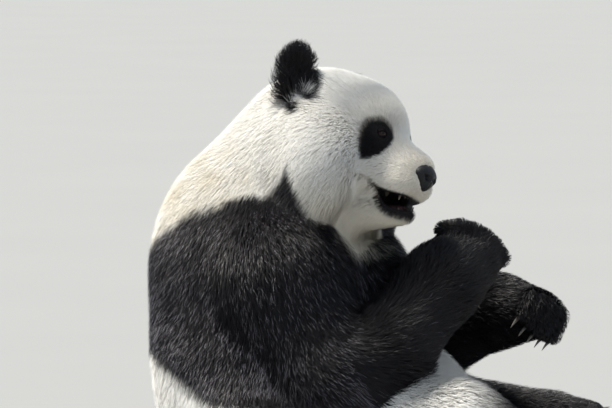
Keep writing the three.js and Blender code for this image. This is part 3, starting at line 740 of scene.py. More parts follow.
class Markings:
    """Where the coat is black, worked out from the form's own landmarks.

    The edges are tables, x and then z, of where the shoulder band begins and ends. Hair lies some 20 mm down
    and back from its root, so each edge stands above the line that the tips draw.
    """

    PATCH_AT = (142, -72, -28)  # middle of the right eye's patch in the head, in millimetres
    PATCH_NORMAL = (0.70, -0.70, 0.10)
    PATCH_LONG = (0.06, 0.46, 0.886)
    PATCH_HALF = (0.043, 0.0315)
    PATCH_LEFT_OUT = (0, 7, 0)  # how much further out the left one lies, in millimetres
    LEG_STARTS = (0.47, 0.44)  # how far forward the right and the left hind leg turn black
    SOFT = 0.011  # half the width over which an edge of the band fades
    EYE_CLEAR = 0.0122  # distance from an eye's middle within which no hair grows
    MOUTH_CLEAR = 0.0005
    UPPER_EDGE = (
        [-0.240, -0.200, -0.184, -0.150, -0.117, -0.073, -0.035, 0.0, 0.047, 0.060, 0.085, 0.098, 0.113, 0.124,
         0.134, 0.150, 0.180, 0.201, 0.225, 0.250, 0.267, 0.285, 0.30, 0.36],
        [0.455, 0.515, 0.534, 0.577, 0.611, 0.640, 0.658, 0.671, 0.682, 0.685, 0.695, 0.715, 0.742, 0.715,
         0.690, 0.658, 0.600, 0.572, 0.565, 0.575, 0.582, 0.600, 0.605, 0.63],
    )
    LOWER_EDGE = (
        [-0.20, -0.165, -0.117, -0.09, -0.035, 0.06, 0.16, 0.26, 0.34],
        [0.415, 0.372, 0.337, 0.316, 0.280, 0.23, 0.25, 0.36, 0.4],
    )

    def __init__(self, form: Form) -> None:
        """Keeps the form and the rows of its blobs that belong to each part.

        Args:
            form: the animal.
        """
        self.form = form
        names = [r.value for r in form.regions]
        self.rows = {
            "arm": [i for i, n in enumerate(names) if "arm" in n],
            "leg": [i for i, n in enumerate(names) if n.startswith(("leg", "foot"))],
            "ear": [i for i, n in enumerate(names) if n.startswith("ear")],
            "head": [i for i, n in enumerate(names) if n in ("head", "face")],
        }

    def patch(self, local: Array) -> Array:
        """The eye patches: a leaning ellipse on each side, a little wider low down and uneven at the edge.

        Args:
            local: places in the head's own frame.

        Returns:
            One inside the patches and zero outside.
        """
        mask = np.zeros(len(local), np.float32)
        for s in SIDES.values():
            flip = np.array([1.0, -s, 1.0])
            normal = unit(np.array(self.PATCH_NORMAL) * flip)
            long = np.array(self.PATCH_LONG) * flip
            long = unit(long - normal * float(long @ normal))
            short = np.cross(normal, long)
            rel = local - mm(self.PATCH_AT) * flip - mm(self.PATCH_LEFT_OUT) * (s > 0)
            a, b = rel @ long / self.PATCH_HALF[0], rel @ short / self.PATCH_HALF[1]
            wide = 1.0 - 0.12 * a
            r = np.sqrt(a * a + (b * wide) ** 2) + 0.04 * ripple(local, 0.03, 1.0)
            near = smoothstep(0.07, 0.05, np.abs(rel @ normal))
            mask = np.maximum(mask, smoothstep(1.1, 0.94, r) * near)
        return mask

    def ears(self, p: Array, black: Array) -> Array:
        """The ears' black: the ear and the strip along its front, but for a pale tuft, with a tail below.

        All lines are drawn in the ear's own frame, in millimetres: forward across the ear and up along it.

        Args:
            p: places.
            black: how far each place belongs to an ear.

        Returns:
            Share of black that the ears bring.
        """
        for side, s in SIDES.items():
            e = (p - self.form.ear_point(side, [0, 0, 0])) @ self.form.ear_axes(side) / MM
            forward, up = -s * e[:, 1], e[:, 2]
            near = smoothstep(100.0, 90.0, np.abs(up)) * smoothstep(70.0, 60.0, np.abs(forward))
            near = near * smoothstep(-45.0, -35.0, e[:, 0])
            inside = np.hypot(forward / (1.3 * EAR_RADII[1]), up / EAR_RADII[2])
            own = smoothstep(1.04, 0.94, inside) * smoothstep(55.0, 45.0, np.abs(e[:, 0]))
            own = own * smoothstep(8.0, 20.0, forward)
            behind = np.interp(up, [-90, -63, -46, -30], [4, -11, -22, -55])
            black = black * (1.0 - near * smoothstep(4.0, -4.0, forward + 0.42 * e[:, 0] - behind))
            black = np.maximum(black, own)
            edge = np.interp(up, [-90, -75, -60, -42, -27], [-6, -1, 1, 8, 14])
            pale = smoothstep(-4.0, 4.0, forward - edge) * smoothstep(-24.0, -32.0, up)
            pale = pale * np.maximum(smoothstep(48.0, 42.0, forward), smoothstep(-60.0, -68.0, up))
            half = np.interp(up, [-84, -70, -48], [0, 9, 15])
            tail = smoothstep(2.0, -3.0, np.abs(forward - 13.0) - half) * smoothstep(-40.0, -48.0, up)
            black = np.maximum(black * (1.0 - pale * near), tail * near * smoothstep(-86.0, -78.0, up))
        return black

    def black(self, p: Array, share: Array) -> Array:
        """Share of black in the coat.

        The shoulder band lies between a curve that arches over the shoulder and a line that falls towards the
        elbow. The forelegs, ears and lower hind legs are black, and the head is white but for patches and
        lips.

        Args:
            p: places.
            share: each blob's share in them.

        Returns:
            From 0 for white to 1 for black.
        """
        part = {name: share[rows].sum(0) for name, rows in self.rows.items()}
        x, y, z = p[:, 0], p[:, 1], p[:, 2]
        wander = 0.008 * ripple(p, 0.11, 0.4) + 0.004 * ripple(p, 0.03, 2.0)
        far = smoothstep(0.26, 0.29, x) * smoothstep(-0.09, -0.06, y)
        arch = np.interp(x, *self.UPPER_EDGE) + 0.035 * far
        band = np.minimum(arch - z, z - np.interp(x, *self.LOWER_EDGE)) + wander
        limb = (part["arm"] - 0.42) * 0.12
        torso = np.maximum(band, np.minimum(limb, arch - z + wander))
        body = smoothstep(-self.SOFT, self.SOFT, torso)
        start = np.where(y < 0.0, *self.LEG_STARTS)
        leg = smoothstep(-0.05, 0.05, x - start + wander * 1.5) * smoothstep(0.3, 0.7, part["leg"])
        ear = self.ears(p, smoothstep(0.35, 0.65, part["ear"]))
        local = HEAD.local(p)
        gap = self.form.mouth.distance(local)
        rim = 0.003 + 0.0085 * self.form.mouth.under(local)
        lips = smoothstep(0.003, -0.002, gap - rim) * smoothstep(0.3, 0.6, part["head"])
        lips = lips * smoothstep(-0.007, 0.001, local[:, 0] - MOUTH_CORNER[0] * MM)
        face = np.maximum(self.patch(local) * smoothstep(0.3, 0.6, part["head"]), lips)
        return np.clip(np.maximum.reduce([body, leg, ear, face]), 0.0, 1.0)

    def bare(self, p: Array) -> Array:
        """Where no hair grows: in the mouth, on the nose, over the eyes and under the seat.

        Args:
            p: places.

        Returns:
            True where it is bare.
        """
        local = HEAD.local(p)
        in_head = np.abs(local).max(1) < HEAD_REACH
        mouth = (self.form.mouth.distance(local) < self.MOUTH_CLEAR) & in_head
        rel = (local - mm(NOSE_AT)) / (mm(NOSE_RADII) * 1.1)
        nose = (np.linalg.norm(rel, axis=1) < 1.0) & (local[:, 0] > (NOSE_AT[0] - 12) * MM)
        eyes = np.zeros(len(p), bool)
        for eye in self.form.eyes.values():
            eyes |= np.linalg.norm(p - eye, axis=1) < self.EYE_CLEAR
        return mouth | nose | eyes | (p[:, 2] < Form.FLOOR_PAD + 0.001)


# -------------------------------- meshes


def make_mesh(name: str, points: Array, faces: Sequence[Array]) -> Piece:
    """Puts arrays into a new, smoothly shaded mesh object at the origin.

    Args:
        name: the object's name.
        points: vertices, one in a row.
        faces: arrays of faces, each array with one number of corners.

    Returns:
        The new object, linked to the scene.
    """
    mesh = bpy.data.meshes.new(name)
    loops = np.concatenate([f.reshape(-1) for f in faces]).astype(np.int32)
    sizes = np.concatenate([np.full(len(f), f.shape[1], np.int32) for f in faces])
    starts = np.concatenate([[0], np.cumsum(sizes)[:-1]]).astype(np.int32)
    mesh.vertices.add(len(points))
    mesh.vertices.foreach_set("co", points.astype(np.float32).reshape(-1))
    mesh.loops.add(len(loops))
    mesh.loops.foreach_set("vertex_index", loops)
    mesh.polygons.add(len(sizes))
    mesh.polygons.foreach_set("loop_start", starts)
    mesh.polygons.foreach_set("use_smooth", np.full(len(sizes), True))
    mesh.update(calc_edges=True)
    mesh.validate()
    piece = bpy.data.objects.new(name, mesh)
    bpy.context.scene.collection.objects.link(piece)
    return piece


def disc(middle: int, ring: Array) -> Array:
    """Triangles from one point to a closed ring of points, in the order of the ring."""
    return np.stack([np.full(len(ring), middle), ring, np.roll(ring, -1)], axis=-1)


def write_attribute(piece: Piece, name: str, values: Array) -> None:
    """Stores one number for each vertex, for a material to read."""
    layer = piece.data.attributes.new(name, "FLOAT", "POINT")
    layer.data.foreach_set("value", values.astype(np.float32).reshape(-1))


def ring_faces(rows: int, columns: int) -> Array:
    """Quads of a grid of points laid out row by row, each row closed on itself.

    Args:
        rows: rings of points.
        columns: points in a ring.

    Returns:
        Four corners for each quad.
    """
    i, j = np.meshgrid(np.arange(rows - 1), np.arange(columns), indexing="ij")
    k = (j + 1) % columns
    corners = [i * columns + j, i * columns + k, (i + 1) * columns + k, (i + 1) * columns + j]
    return np.stack(corners, axis=-1).reshape(-1, 4)


def on_sphere(off: Array, around: Array, r: Array) -> Array:
    """Places at an angle off the first axis, an angle round it and a distance from the middle."""
    across = np.sin(off) * r
    return np.stack([np.cos(off) * r, across * np.cos(around), across * np.sin(around)], axis=-1)


def turned_surface(radius: Field, rows: int, columns: int) -> Tuple[Array, List[Array]]:
    """A closed surface round a middle: its radius is a function of the angle off the first axis.

    Args:
        radius: distance from the middle at each angle.
        rows: rings between the two poles.
        columns: points in a ring.

    Returns:
        The points in the surface's own frame, and its quads and the triangles at its poles.
    """
    turn = np.linspace(0, 2 * math.pi, columns, endpoint=False)
    off, around = np.meshgrid(np.linspace(0, math.pi, rows + 2)[1:-1], turn, indexing="ij")
    poles = np.array([[1.0, 0, 0], [-1.0, 0, 0]]) * radius(np.array([0.0, math.pi]))[:, None]
    points = np.concatenate([on_sphere(off, around, radius(off)).reshape(-1, 3), poles])
    first, middle = np.arange(columns), rows * columns
    last = first + middle - columns
    return points, [ring_faces(rows, columns)[:, ::-1], disc(middle, first), disc(middle + 1, last)[:, ::-1]]


class SurfaceNet:
    """Turns a distance into a mesh: a point in each cell that the surface crosses, slid onto the surface."""

    COARSE = 0.010
    FINE = 0.005
    BLOCK = 4  # cells between the first, rough samples
    NEAR = 1.7  # blocks within which the surface may pass
    SETTLES = 3
    LEAST_SLOPE = 0.2  # keeps a point from leaping where the distance is nearly flat

    def __init__(self, f: Field, low: Array, high: Array, fine_low: Array, fine_high: Array) -> None:
        """Lays out lattice lines, closer together across the fine box.

        Args:
            f: distance to the surface, as a function of place.
            low: lower corner of the box that is searched.
            high: upper corner.
            fine_low: lower corner of the fine box.
            fine_high: upper corner.
        """
        self.f = f
        self.lines = [self._lines(*ends) for ends in zip(low, high, fine_low, fine_high)]

    def _lines(self, low: float, high: float, fine_low: float, fine_high: float) -> Array:
        """Places of the lattice lines along one axis.

        Args:
            low: where they begin.
            high: where they end.
            fine_low: where they draw together.
            fine_high: where they part again.

        Returns:
            The places, one more than a whole number of blocks.
        """
        a = np.arange(low, fine_low, self.COARSE)
        b = np.arange(fine_low, fine_high, self.FINE)
        c = np.arange(fine_high, high, self.COARSE)
        lines = np.concatenate([a, b, c])
        spare = (-len(lines)) % self.BLOCK + 1
        return np.concatenate([lines, lines[-1] + self.COARSE * np.arange(1, spare + 1)])

    def _sample(self) -> Array:
        """The distance at every lattice point that may be near the surface, and its sign elsewhere.

        Returns:
            One value for each lattice point, as a block of three axes.
        """
        b = self.BLOCK
        rough = np.meshgrid(*(line[::b] for line in self.lines), indexing="ij")
        level = self.f(np.stack(rough, axis=-1).reshape(-1, 3)).reshape(rough[0].shape)
        near = np.abs(level) < self.COARSE * b * self.NEAR
        spread = near.copy()
        for axis in range(3):
            spread |= np.roll(near, 1, axis) | np.roll(near, -1, axis)
        full = tuple(len(line) for line in self.lines)

        def grown(a: Array) -> Array:
            """Rough samples repeated over their blocks.

            Args:
                a: one value for each block.

            Returns:
                One value for each lattice point.
            """
            for axis in range(3):
                a = np.repeat(a, b, axis)
            return a[: full[0], : full[1], : full[2]]

        value = grown(level).copy()
        wanted = grown(spread)
        at = np.nonzero(wanted)
        points = np.stack([line[i] for line, i in zip(self.lines, at)], axis=-1)
        value[at] = self.f(points)
        return value

    def build(self) -> Tuple[Array, Array]:
        """Finds the edges that cross the surface, and a point for each cell that touches them.

        The point is the mean of the crossings on the cell's edges, and each crossed edge makes a quad of the
        points of its four cells.

        Returns:
            The points and the quads.
        """
        value = self._sample()
        inside = value < 0.0
        cells = tuple(n - 1 for n in value.shape)
        total = int(np.prod(cells))
        sums = np.zeros((3, total))
        count = np.zeros(total)
        rings = []
        for axis in range(3):
            a, b = (axis + 1) % 3, (axis + 2) % 3
            low = [slice(None)] * 3
            high = [slice(None)] * 3
            low[axis], high[axis] = slice(None, -1), slice(1, None)
            va, vb = value[tuple(low)], value[tuple(high)]
            at = np.array(np.nonzero((va < 0.0) != (vb < 0.0)))
            pa, pb = va[tuple(at)], vb[tuple(at)]
            t = pa / (pa - pb)
            place = [self.lines[k][at[k]] for k in range(3)]
            place[axis] = place[axis] + t * (self.lines[axis][at[axis] + 1] - place[axis])
            corner = []
            for da, db in ((-1, -1), (0, -1), (0, 0), (-1, 0)):
                cell = at.copy()
                cell[a] += da
                cell[b] += db
                flat = np.ravel_multi_index(tuple(cell), cells)
                corner.append(flat)
                count += np.bincount(flat, minlength=total)
                for k in range(3):
                    sums[k] += np.bincount(flat, weights=place[k], minlength=total)
            ring = np.stack(corner, axis=-1)
            outward = inside[tuple(at)]
            ring[~outward] = ring[~outward][:, ::-1]
            rings.append(ring)
        active = np.nonzero(count)[0]
        number = np.full(total, -1, np.int64)
        number[active] = np.arange(len(active))
        points = (sums[:, active] / count[active]).T
        return self._settle(points.astype(np.float32)), number[np.concatenate(rings)]

    def _settle(self, p: Array) -> Array:
        """Slides points along the slope onto the surface, by less than half a cell at a time.

        Args:
            p: points near the surface.

        Returns:
            The points on it.
        """
        for _ in range(self.SETTLES):
            g = slope(self.f, p)
            move = -self.f(p) / np.maximum((g * g).sum(1), self.LEAST_SLOPE)
            p = p + g * np.clip(move, -self.FINE / 2, self.FINE / 2)[:, None]
        return p


# -------------------------------- materials


class Value:
    """A shader socket that takes part in Python arithmetic; each operation adds its Math node."""

    def __init__(self, graph: "Graph", socket: bpy.types.NodeSocket) -> None:
        """Wraps an output socket of a graph."""
        self.graph = graph
        self.socket = socket

    def _math(self, operation: str, a: object, b: object) -> "Value":
        """One Math node on two sockets or numbers."""
        return self.graph.value("ShaderNodeMath", {"operation": operation}, {0: a, 1: b})

    def __add__(self, other: object) -> "Value":
        """Sum."""
        return self._math("ADD", self, other)

    __radd__ = __add__

    def __sub__(self, other: object) -> "Value":
        """Difference."""
        return self._math("SUBTRACT", self, other)

    def __rsub__(self, other: object) -> "Value":
        """Difference from a number."""
        return self._math("SUBTRACT", other, self)

    def __mul__(self, other: object) -> "Value":
        """Product."""
        return self._math("MULTIPLY", self, other)

    __rmul__ = __mul__

    def __pow__(self, other: object) -> "Value":
        """Power."""
        return self._math("POWER", self, other)

    def __rpow__(self, other: object) -> "Value":
        """Power of a number."""
        return self._math("POWER", other, self)


class Graph:
    """A material under construction, with its shader and output in place."""

    def __init__(self, name: str, **shader: object) -> None:
        """Makes the material and sets the shader's steady sockets.

        Args:
            name: the material's name.
            shader: socket names, with _ for a space, and their values.
        """
        self.material = bpy.data.materials.new(name)
        self.material.use_nodes = True
        self.tree = self.material.node_tree
        self.tree.nodes.clear()
        self.shader = self.tree.nodes.new("ShaderNodeBsdfPrincipled")
        output = self.tree.nodes.new("ShaderNodeOutputMaterial")
        self.tree.links.new(self.shader.outputs[0], output.inputs["Surface"])
        for socket, value in shader.items():
            self.shader.inputs[socket.replace("_", " ")].default_value = value

    def node(self, kind: str, settings: Dict[str, object], sockets: Dict[object, object]) -> bpy.types.Node:
        """Adds a node: its settings first, then the values or links of its sockets.

        Args:
            kind: the node's type.
            settings: properties of the node; stops fills a ramp.
            sockets: input sockets, by place, name or identifier, with a number, a colour or a Value.

        Returns:
            The new node.
        """
        node = self.tree.nodes.new(kind)
        for name, value in settings.items():
            if name == "stops":
                ramp = node.color_ramp
                for k, (at, shade) in enumerate(value):
                    stop = ramp.elements[k] if k < 2 else ramp.elements.new(at)
                    stop.position = at
                    stop.color = (*shade, 1.0)
            else:
                setattr(node, name, value)
        for key, value in sockets.items():
            self.feed(self._socket(node, key), value)
        return node

    @staticmethod
    def _socket(node: bpy.types.Node, key: object) -> bpy.types.NodeSocket:
        """An input socket by identifier, or else by place or name."""
        known = {socket.identifier: socket for socket in node.inputs}
        return known[key] if key in known else node.inputs[key]

    def feed(self, socket: bpy.types.NodeSocket, value: object) -> None:
        """Links a Value to a socket, or sets the socket to a number or colour.

        Args:
            socket: the input.
            value: a Value, a number or a colour.
        """
        if isinstance(value, Value):
            self.tree.links.new(value.socket, socket)
        elif isinstance(value, tuple) and len(value) == 3 and socket.type == "RGBA":
            socket.default_value = (*value, 1.0)
        else:
            socket.default_value = value

    def value(self, kind: str, settings: Dict[str, object], sockets: Dict[object, object],
              output: int = 0) -> Value:
        """Adds a node and wraps one of its outputs.

        Args:
            kind: the node's type.
            settings: its properties.
            sockets: what feeds its inputs.
            output: place of the output.

        Returns:
            The output.
        """
        return Value(self, self.node(kind, settings, sockets).outputs[output])

    def attribute(self, name: str) -> Value:
        """A number stored on the mesh."""
        return self.value("ShaderNodeAttribute", {"attribute_name": name}, {}, output=2)

    def place(self) -> Value:
        """Object coordinates."""
        return self.value("ShaderNodeTexCoord", {}, {}, output=3)

    def noise(self, scale: float, detail: float = 3.0, roughness: float = 0.6) -> Value:
        """Fractal noise on Object coordinates."""
        sockets = {"Vector": self.place(), "Scale": scale, "Detail": detail, "Roughness": roughness}
        return self.value("ShaderNodeTexNoise", {}, sockets)

    def cells(self, scale: float) -> Value:
        """Distance to the nearest of scattered points, on Object coordinates."""
        return self.value("ShaderNodeTexVoronoi", {}, {"Vector": self.place(), "Scale": scale})

    def mix(self, factor: object, a: object, b: object) -> Value:
        """One colour passing into another."""
        sockets = {"Factor_Float": factor, "A_Color": a, "B_Color": b}
        return self.value("ShaderNodeMix", {"data_type": "RGBA"}, sockets, output=2)

    def spread(self, x: Value, low: float, high: float, out_low: float, out_high: float) -> Value:
        """A value carried from one range into another and kept inside it."""
        sockets = {"Value": x, "From Min": low, "From Max": high, "To Min": out_low, "To Max": out_high}
        return self.value("ShaderNodeMapRange", {}, sockets)

    def bump(self, height: Value, strength: float, distance: float) -> Value:
        """Surface relief from a height."""
        sockets = {"Height": height, "Strength": strength, "Distance": distance}
        return self.value("ShaderNodeBump", {}, sockets)

    def shade(self, **sockets: object) -> Material:
        """Feeds the shader's varying sockets.

        Args:
            sockets: socket names, with _ for a space, and what feeds them.

        Returns:
            The finished material.
        """
        for name, value in sockets.items():
            self.feed(self.shader.inputs[name.replace("_", " ")], value)
        return self.material


@dataclass(frozen=True)
class CoatFinish:
    """Hair: white and black, each darker at the root than at the tip."""

    name: str = "coat_hair"
    white_root: Triple = (0.82, 0.79, 0.73)
    white_tip: Triple = (0.94, 0.935, 0.91)
    black_root: Triple = (0.003, 0.0027, 0.003)
    black_tip: Triple = (0.0088, 0.008, 0.0115)
    yellow: Triple = (0.70, 0.62, 0.46)

    def material(self) -> Material:
        """Reads black, along and the yellowing, partly stain and partly painted shade, from the tufts.

        Returns:
            The material.
        """
        g = Graph(self.name, Specular_IOR_Level=0.28)
        along, black, stain_and_shade = g.attribute("along"), g.attribute("black"), g.attribute("stain_and_shade")
        uneven = g.noise(28.0, 4.0)
        white = g.mix(along, self.white_root, self.white_tip)
        # yellow: real stain on the nape and near the floor, painted shade below the cheek in the ruff
        white = g.mix(stain_and_shade * 0.65, white, self.yellow)
        white = g.mix(g.spread(uneven, 0.35, 0.7, 0.18, 0.0), white, (0.70, 0.66, 0.58))
        dark = g.mix(along, self.black_root, self.black_tip)
        dark = g.mix(g.spread(uneven, 0.45, 0.75, 0.0, 0.4), dark, (0.015, 0.0105, 0.0105))
        rough = g.spread(black, 0.0, 1.0, 0.72, 0.5)
        return g.shade(Base_Color=g.mix(black, white, dark), Roughness=rough)


@dataclass(frozen=True)
class PaintedGlintHairFinish:
    """Stray hairs over the black coat whose pale tips are a painted highlight, standing in for sun glints."""

    name: str = "painted_glint_hair"

    def material(self) -> Material:
        """Black at the root, passing to a cool pale grey at the tip that is a painted glint of light.

        Returns:
            The material.
        """
        g = Graph(self.name, Specular_IOR_Level=0.6)
        along = g.attribute("along")
        # pale tip colour: painted highlight for sun glints on the black fur
        pale = g.mix(g.noise(9.0), (0.30, 0.275, 0.33), (0.74, 0.71, 0.80))
        colour = g.mix(along**2.0, (0.012, 0.011, 0.013), pale)
        return g.shade(Base_Color=colour, Roughness=g.spread(along, 0, 1, 0.5, 0.38))


@dataclass(frozen=True)
class SkinFinish:
    """Hide under the coat, with the same markings, and the lining of the mouth."""

    name: str = "hide"

    def material(self) -> Material:
        """Reads black and mouth from the skin's vertices.

        Returns:
            The material.
        """
        g = Graph(self.name, Specular_IOR_Level=0.3)
        black, mouth = g.attribute("black"), g.attribute("mouth")
        fine = g.noise(260.0, 5.0, 0.7)
        white = g.mix(fine, (0.42, 0.375, 0.31), (0.72, 0.68, 0.61))
        dark = g.mix(fine, (0.005, 0.0045, 0.005), (0.02, 0.017, 0.019))
        wet = g.mix(g.noise(90.0), (0.035, 0.014, 0.018), (0.11, 0.04, 0.045))
        colour = g.mix(mouth, g.mix(black, white, dark), wet)
        relief = g.bump(g.noise(420.0, 6.0, 0.75), 0.5, 0.0015)
        return g.shade(Base_Color=colour, Roughness=g.spread(mouth, 0, 1, 0.8, 0.32), Normal=relief)


@dataclass(frozen=True)
class EyeFinish:
    """Dark brown eye under a clear wet film; ring is the angle off the line of sight, 1 at the back."""

    name: str = "wet_eye"

    def material(self) -> Material:
        """Pupil, iris, dark rim and the little white that shows.

        Returns:
            The material.
        """
        g = Graph(self.name, Coat_Roughness=0.03, Specular_IOR_Level=0.12)
        ring = g.attribute("ring")
        fibres = g.noise(900.0, 4.0) * 0.03
        stops = [
            (0.0, (0.001, 0.001, 0.001)), (0.07, (0.001, 0.001, 0.001)), (0.085, (0.016, 0.007, 0.004)),
            (0.15, (0.024, 0.011, 0.006)), (0.185, (0.004, 0.002, 0.002)), (0.23, (0.035, 0.026, 0.022)),
        ]
        colour = g.value("ShaderNodeValToRGB", {"stops": stops}, {0: ring + fibres - 0.015})
        rough, film = g.spread(ring, 0.1, 0.3, 0.06, 0.2), g.spread(ring, 0, 1, 0.2, 0.05)
        return g.shade(Base_Color=colour, Roughness=rough, Coat_Weight=film)


@dataclass(frozen=True)
class LeatherFinish:
    """Bare pebbled leather or flesh, as on nose, lids and tongue.

    Args:
        name: of the material.
        low: colour between the pebbles.
        high: colour on top of them.
        roughness: where the tone is low and where it is high.
        pebble: how many pebbles there are on a metre.
        depth: how high they stand.
        wet: weight of the wet film.
        gloss: level of the plain shine.
    """

    name: str
    low: Triple
    high: Triple
    roughness: Tuple[float, float]
    pebble: float
    depth: float
    wet: float = 0.0
    gloss: float = 0.5

    def material(self) -> Material:
        """Pebbles from scattered cells, tone from a slower noise.

        Returns:
            The material.
        """
        g = Graph(self.name, Coat_Roughness=0.25, Specular_IOR_Level=self.gloss)
        cells = g.cells(self.pebble)
        tone = g.noise(60.0, 4.0)
        colour = g.mix(g.spread(tone * 0.6 + cells * 0.6, 0.2, 0.9, 0.0, 1.0), self.low, self.high)
        rough = g.spread(tone, 0.3, 0.7, *self.roughness)
        relief = g.bump(cells + g.noise(self.pebble * 2.0) * 0.4, 0.7, self.depth)
        film = g.spread(tone, 0.2, 0.8, self.wet, self.wet * 0.5)
        return g.shade(Base_Color=colour, Roughness=rough, Normal=relief, Coat_Weight=film)


@dataclass(frozen=True)
class HornFinish:
    """Claw or tooth: darker at the root, worn paler towards the tip; along runs from root to tip."""

    name: str
    root: Triple
    tip: Triple
    roughness: float

    def material(self) -> Material:
        """Lengthwise tone with fine streaks.

        Returns:
            The material.
        """
        g = Graph(self.name, Specular_IOR_Level=0.5)
        streak = g.noise(340.0, 5.0, 0.7)
        along = g.attribute("along")
        colour = g.mix(g.spread(along + streak * 0.4, 0.2, 1.1, 0.0, 1.0), self.root, self.tip)
        relief = g.bump(streak, 0.35, 0.0006)
        rough = g.spread(streak, 0.3, 0.7, self.roughness * 0.8, self.roughness * 1.2)
        return g.shade(Base_Color=colour, Roughness=rough, Normal=relief)


def dress(piece: Piece, material: Material, slot: str, *nodes: str) -> Piece:
    """Gives a piece its material and tells the frame what it rides on and what it stands for.

    Args:
        piece: a finished piece.
        material: its finish.
        slot: its slot in the frame; not used.
        nodes: the frame's nodes that it replaces.

    Returns:
        The same piece.
    """
    piece.data.materials.append(material)
    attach(piece, "root")
    if nodes:
        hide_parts(*nodes)
    log.info("%s: %d faces", piece.name, len(piece.data.polygons))
    return piece


# -------------------------------- skin and coat


class Skin:
    """One hide for the whole body, inside the solids by the depth of the coat."""

    LOW = np.array([-0.26, -0.36, -0.02])
    HIGH = np.array([0.81, 0.36, 1.0])
    FINE_LOW = np.array([0.10, -0.245, 0.60])
    FINE_HIGH = np.array([0.42, 0.10, 0.86])

    def __init__(self, form: Form, markings: Markings) -> None:
        """Meshes the skin and reads the coat's measures at each of its points.

        Args:
            form: the animal.
            markings: where it is black.
        """
        net = SurfaceNet(form.skin, self.LOW, self.HIGH, self.FINE_LOW, self.FINE_HIGH)
        self.points, self.quads = net.build()
        parts = np.array_split(self.points, 4)
        self.share = np.concatenate([form.read(part.astype(np.float32))[1] for part in parts], axis=1)
        self.depth = form.coat_depth(self.points, self.share)
        self.black = markings.black(self.points, self.share)
        self.normals = unit(slope(form.skin, self.points))
        self.form = form

    def build(self, material: Material, nodes: Sequence[str]) -> Piece:
        """The skin as one object that stands for every node of flesh.

        Args:
            material: its finish.
            nodes: the frame's nodes that it replaces.

        Returns:
            The piece.
        """
        piece = make_mesh("skin", self.points, [self.quads])
        write_attribute(piece, "black", self.black)
        local = HEAD.local(self.points)
        near = np.abs(local).max(1) < HEAD_REACH
        mouth = smoothstep(0.0022, -0.001, self.form.mouth.distance(local)) * near
        write_attribute(piece, "mouth", mouth)
        return dress(piece, material, "white_fur", *nodes)


@dataclass(frozen=True)
class Pelt:
    """How thickly a region is grown, and how finely each tuft is cut.

    Args:
        density: tufts on a square centimetre.
        stray: how far a tuft turns off the lie by itself, in radians.
        lock: how far whole locks turn together, in radians.
        steps: lengths of blade behind the pointed one.
    """

    density: float
    stray: float
    lock: float
    steps: int = 1


EAR_PELT, LEG_PELT, FOOT_PELT = Pelt(30.0, 0.25, 0.12), Pelt(13.0, 0.22, 0.2), Pelt(18.0, 0.22, 0.12)
PELTS = {
    Region.TRUNK: Pelt(17.0, 0.2, 0.08),
    Region.NECK: Pelt(24.0, 0.14, 0.03),
    Region.TAIL: Pelt(17.0, 0.25, 0.2),
    Region.HEAD: Pelt(33.0, 0.12, 0.02),
    Region.FACE: Pelt(44.0, 0.15, 0.05),
    Region.EAR_RIGHT: EAR_PELT,
    Region.EAR_LEFT: EAR_PELT,
    Region.ARM_RIGHT: Pelt(18.0, 0.22, 0.2),
    Region.ARM_LEFT: Pelt(14.0, 0.22, 0.2),
    Region.FOREARM_RIGHT: Pelt(18.0, 0.22, 0.16),
    Region.FOREARM_LEFT: Pelt(17.0, 0.22, 0.16),
    Region.LEG_RIGHT: LEG_PELT,
    Region.LEG_LEFT: LEG_PELT,
    Region.FOOT_RIGHT: FOOT_PELT,
    Region.FOOT_LEFT: FOOT_PELT,
}


@dataclass
class Roots:
    """Where tufts grow, with all that is known of each place."""

    at: Array
    normal: Array
    share: Array
    depth: Array
    black: Array

    def take(self, keep: Array) -> "Roots":
        """The roots that a mask picks out."""
        at, normal, share = self.at[keep], self.normal[keep], self.share[:, keep]
        return Roots(at, normal, share, self.depth[keep], self.black[keep])

    @classmethod
    def gathered(cls, groups: Sequence["Roots"]) -> "Roots":
        """Several groups of roots as one, in order."""
        names = {"at": 0, "normal": 0, "share": 1, "depth": 0, "black": 0}
        return cls(**{n: np.concatenate([getattr(g, n) for g in groups], axis) for n, axis in names.items()})


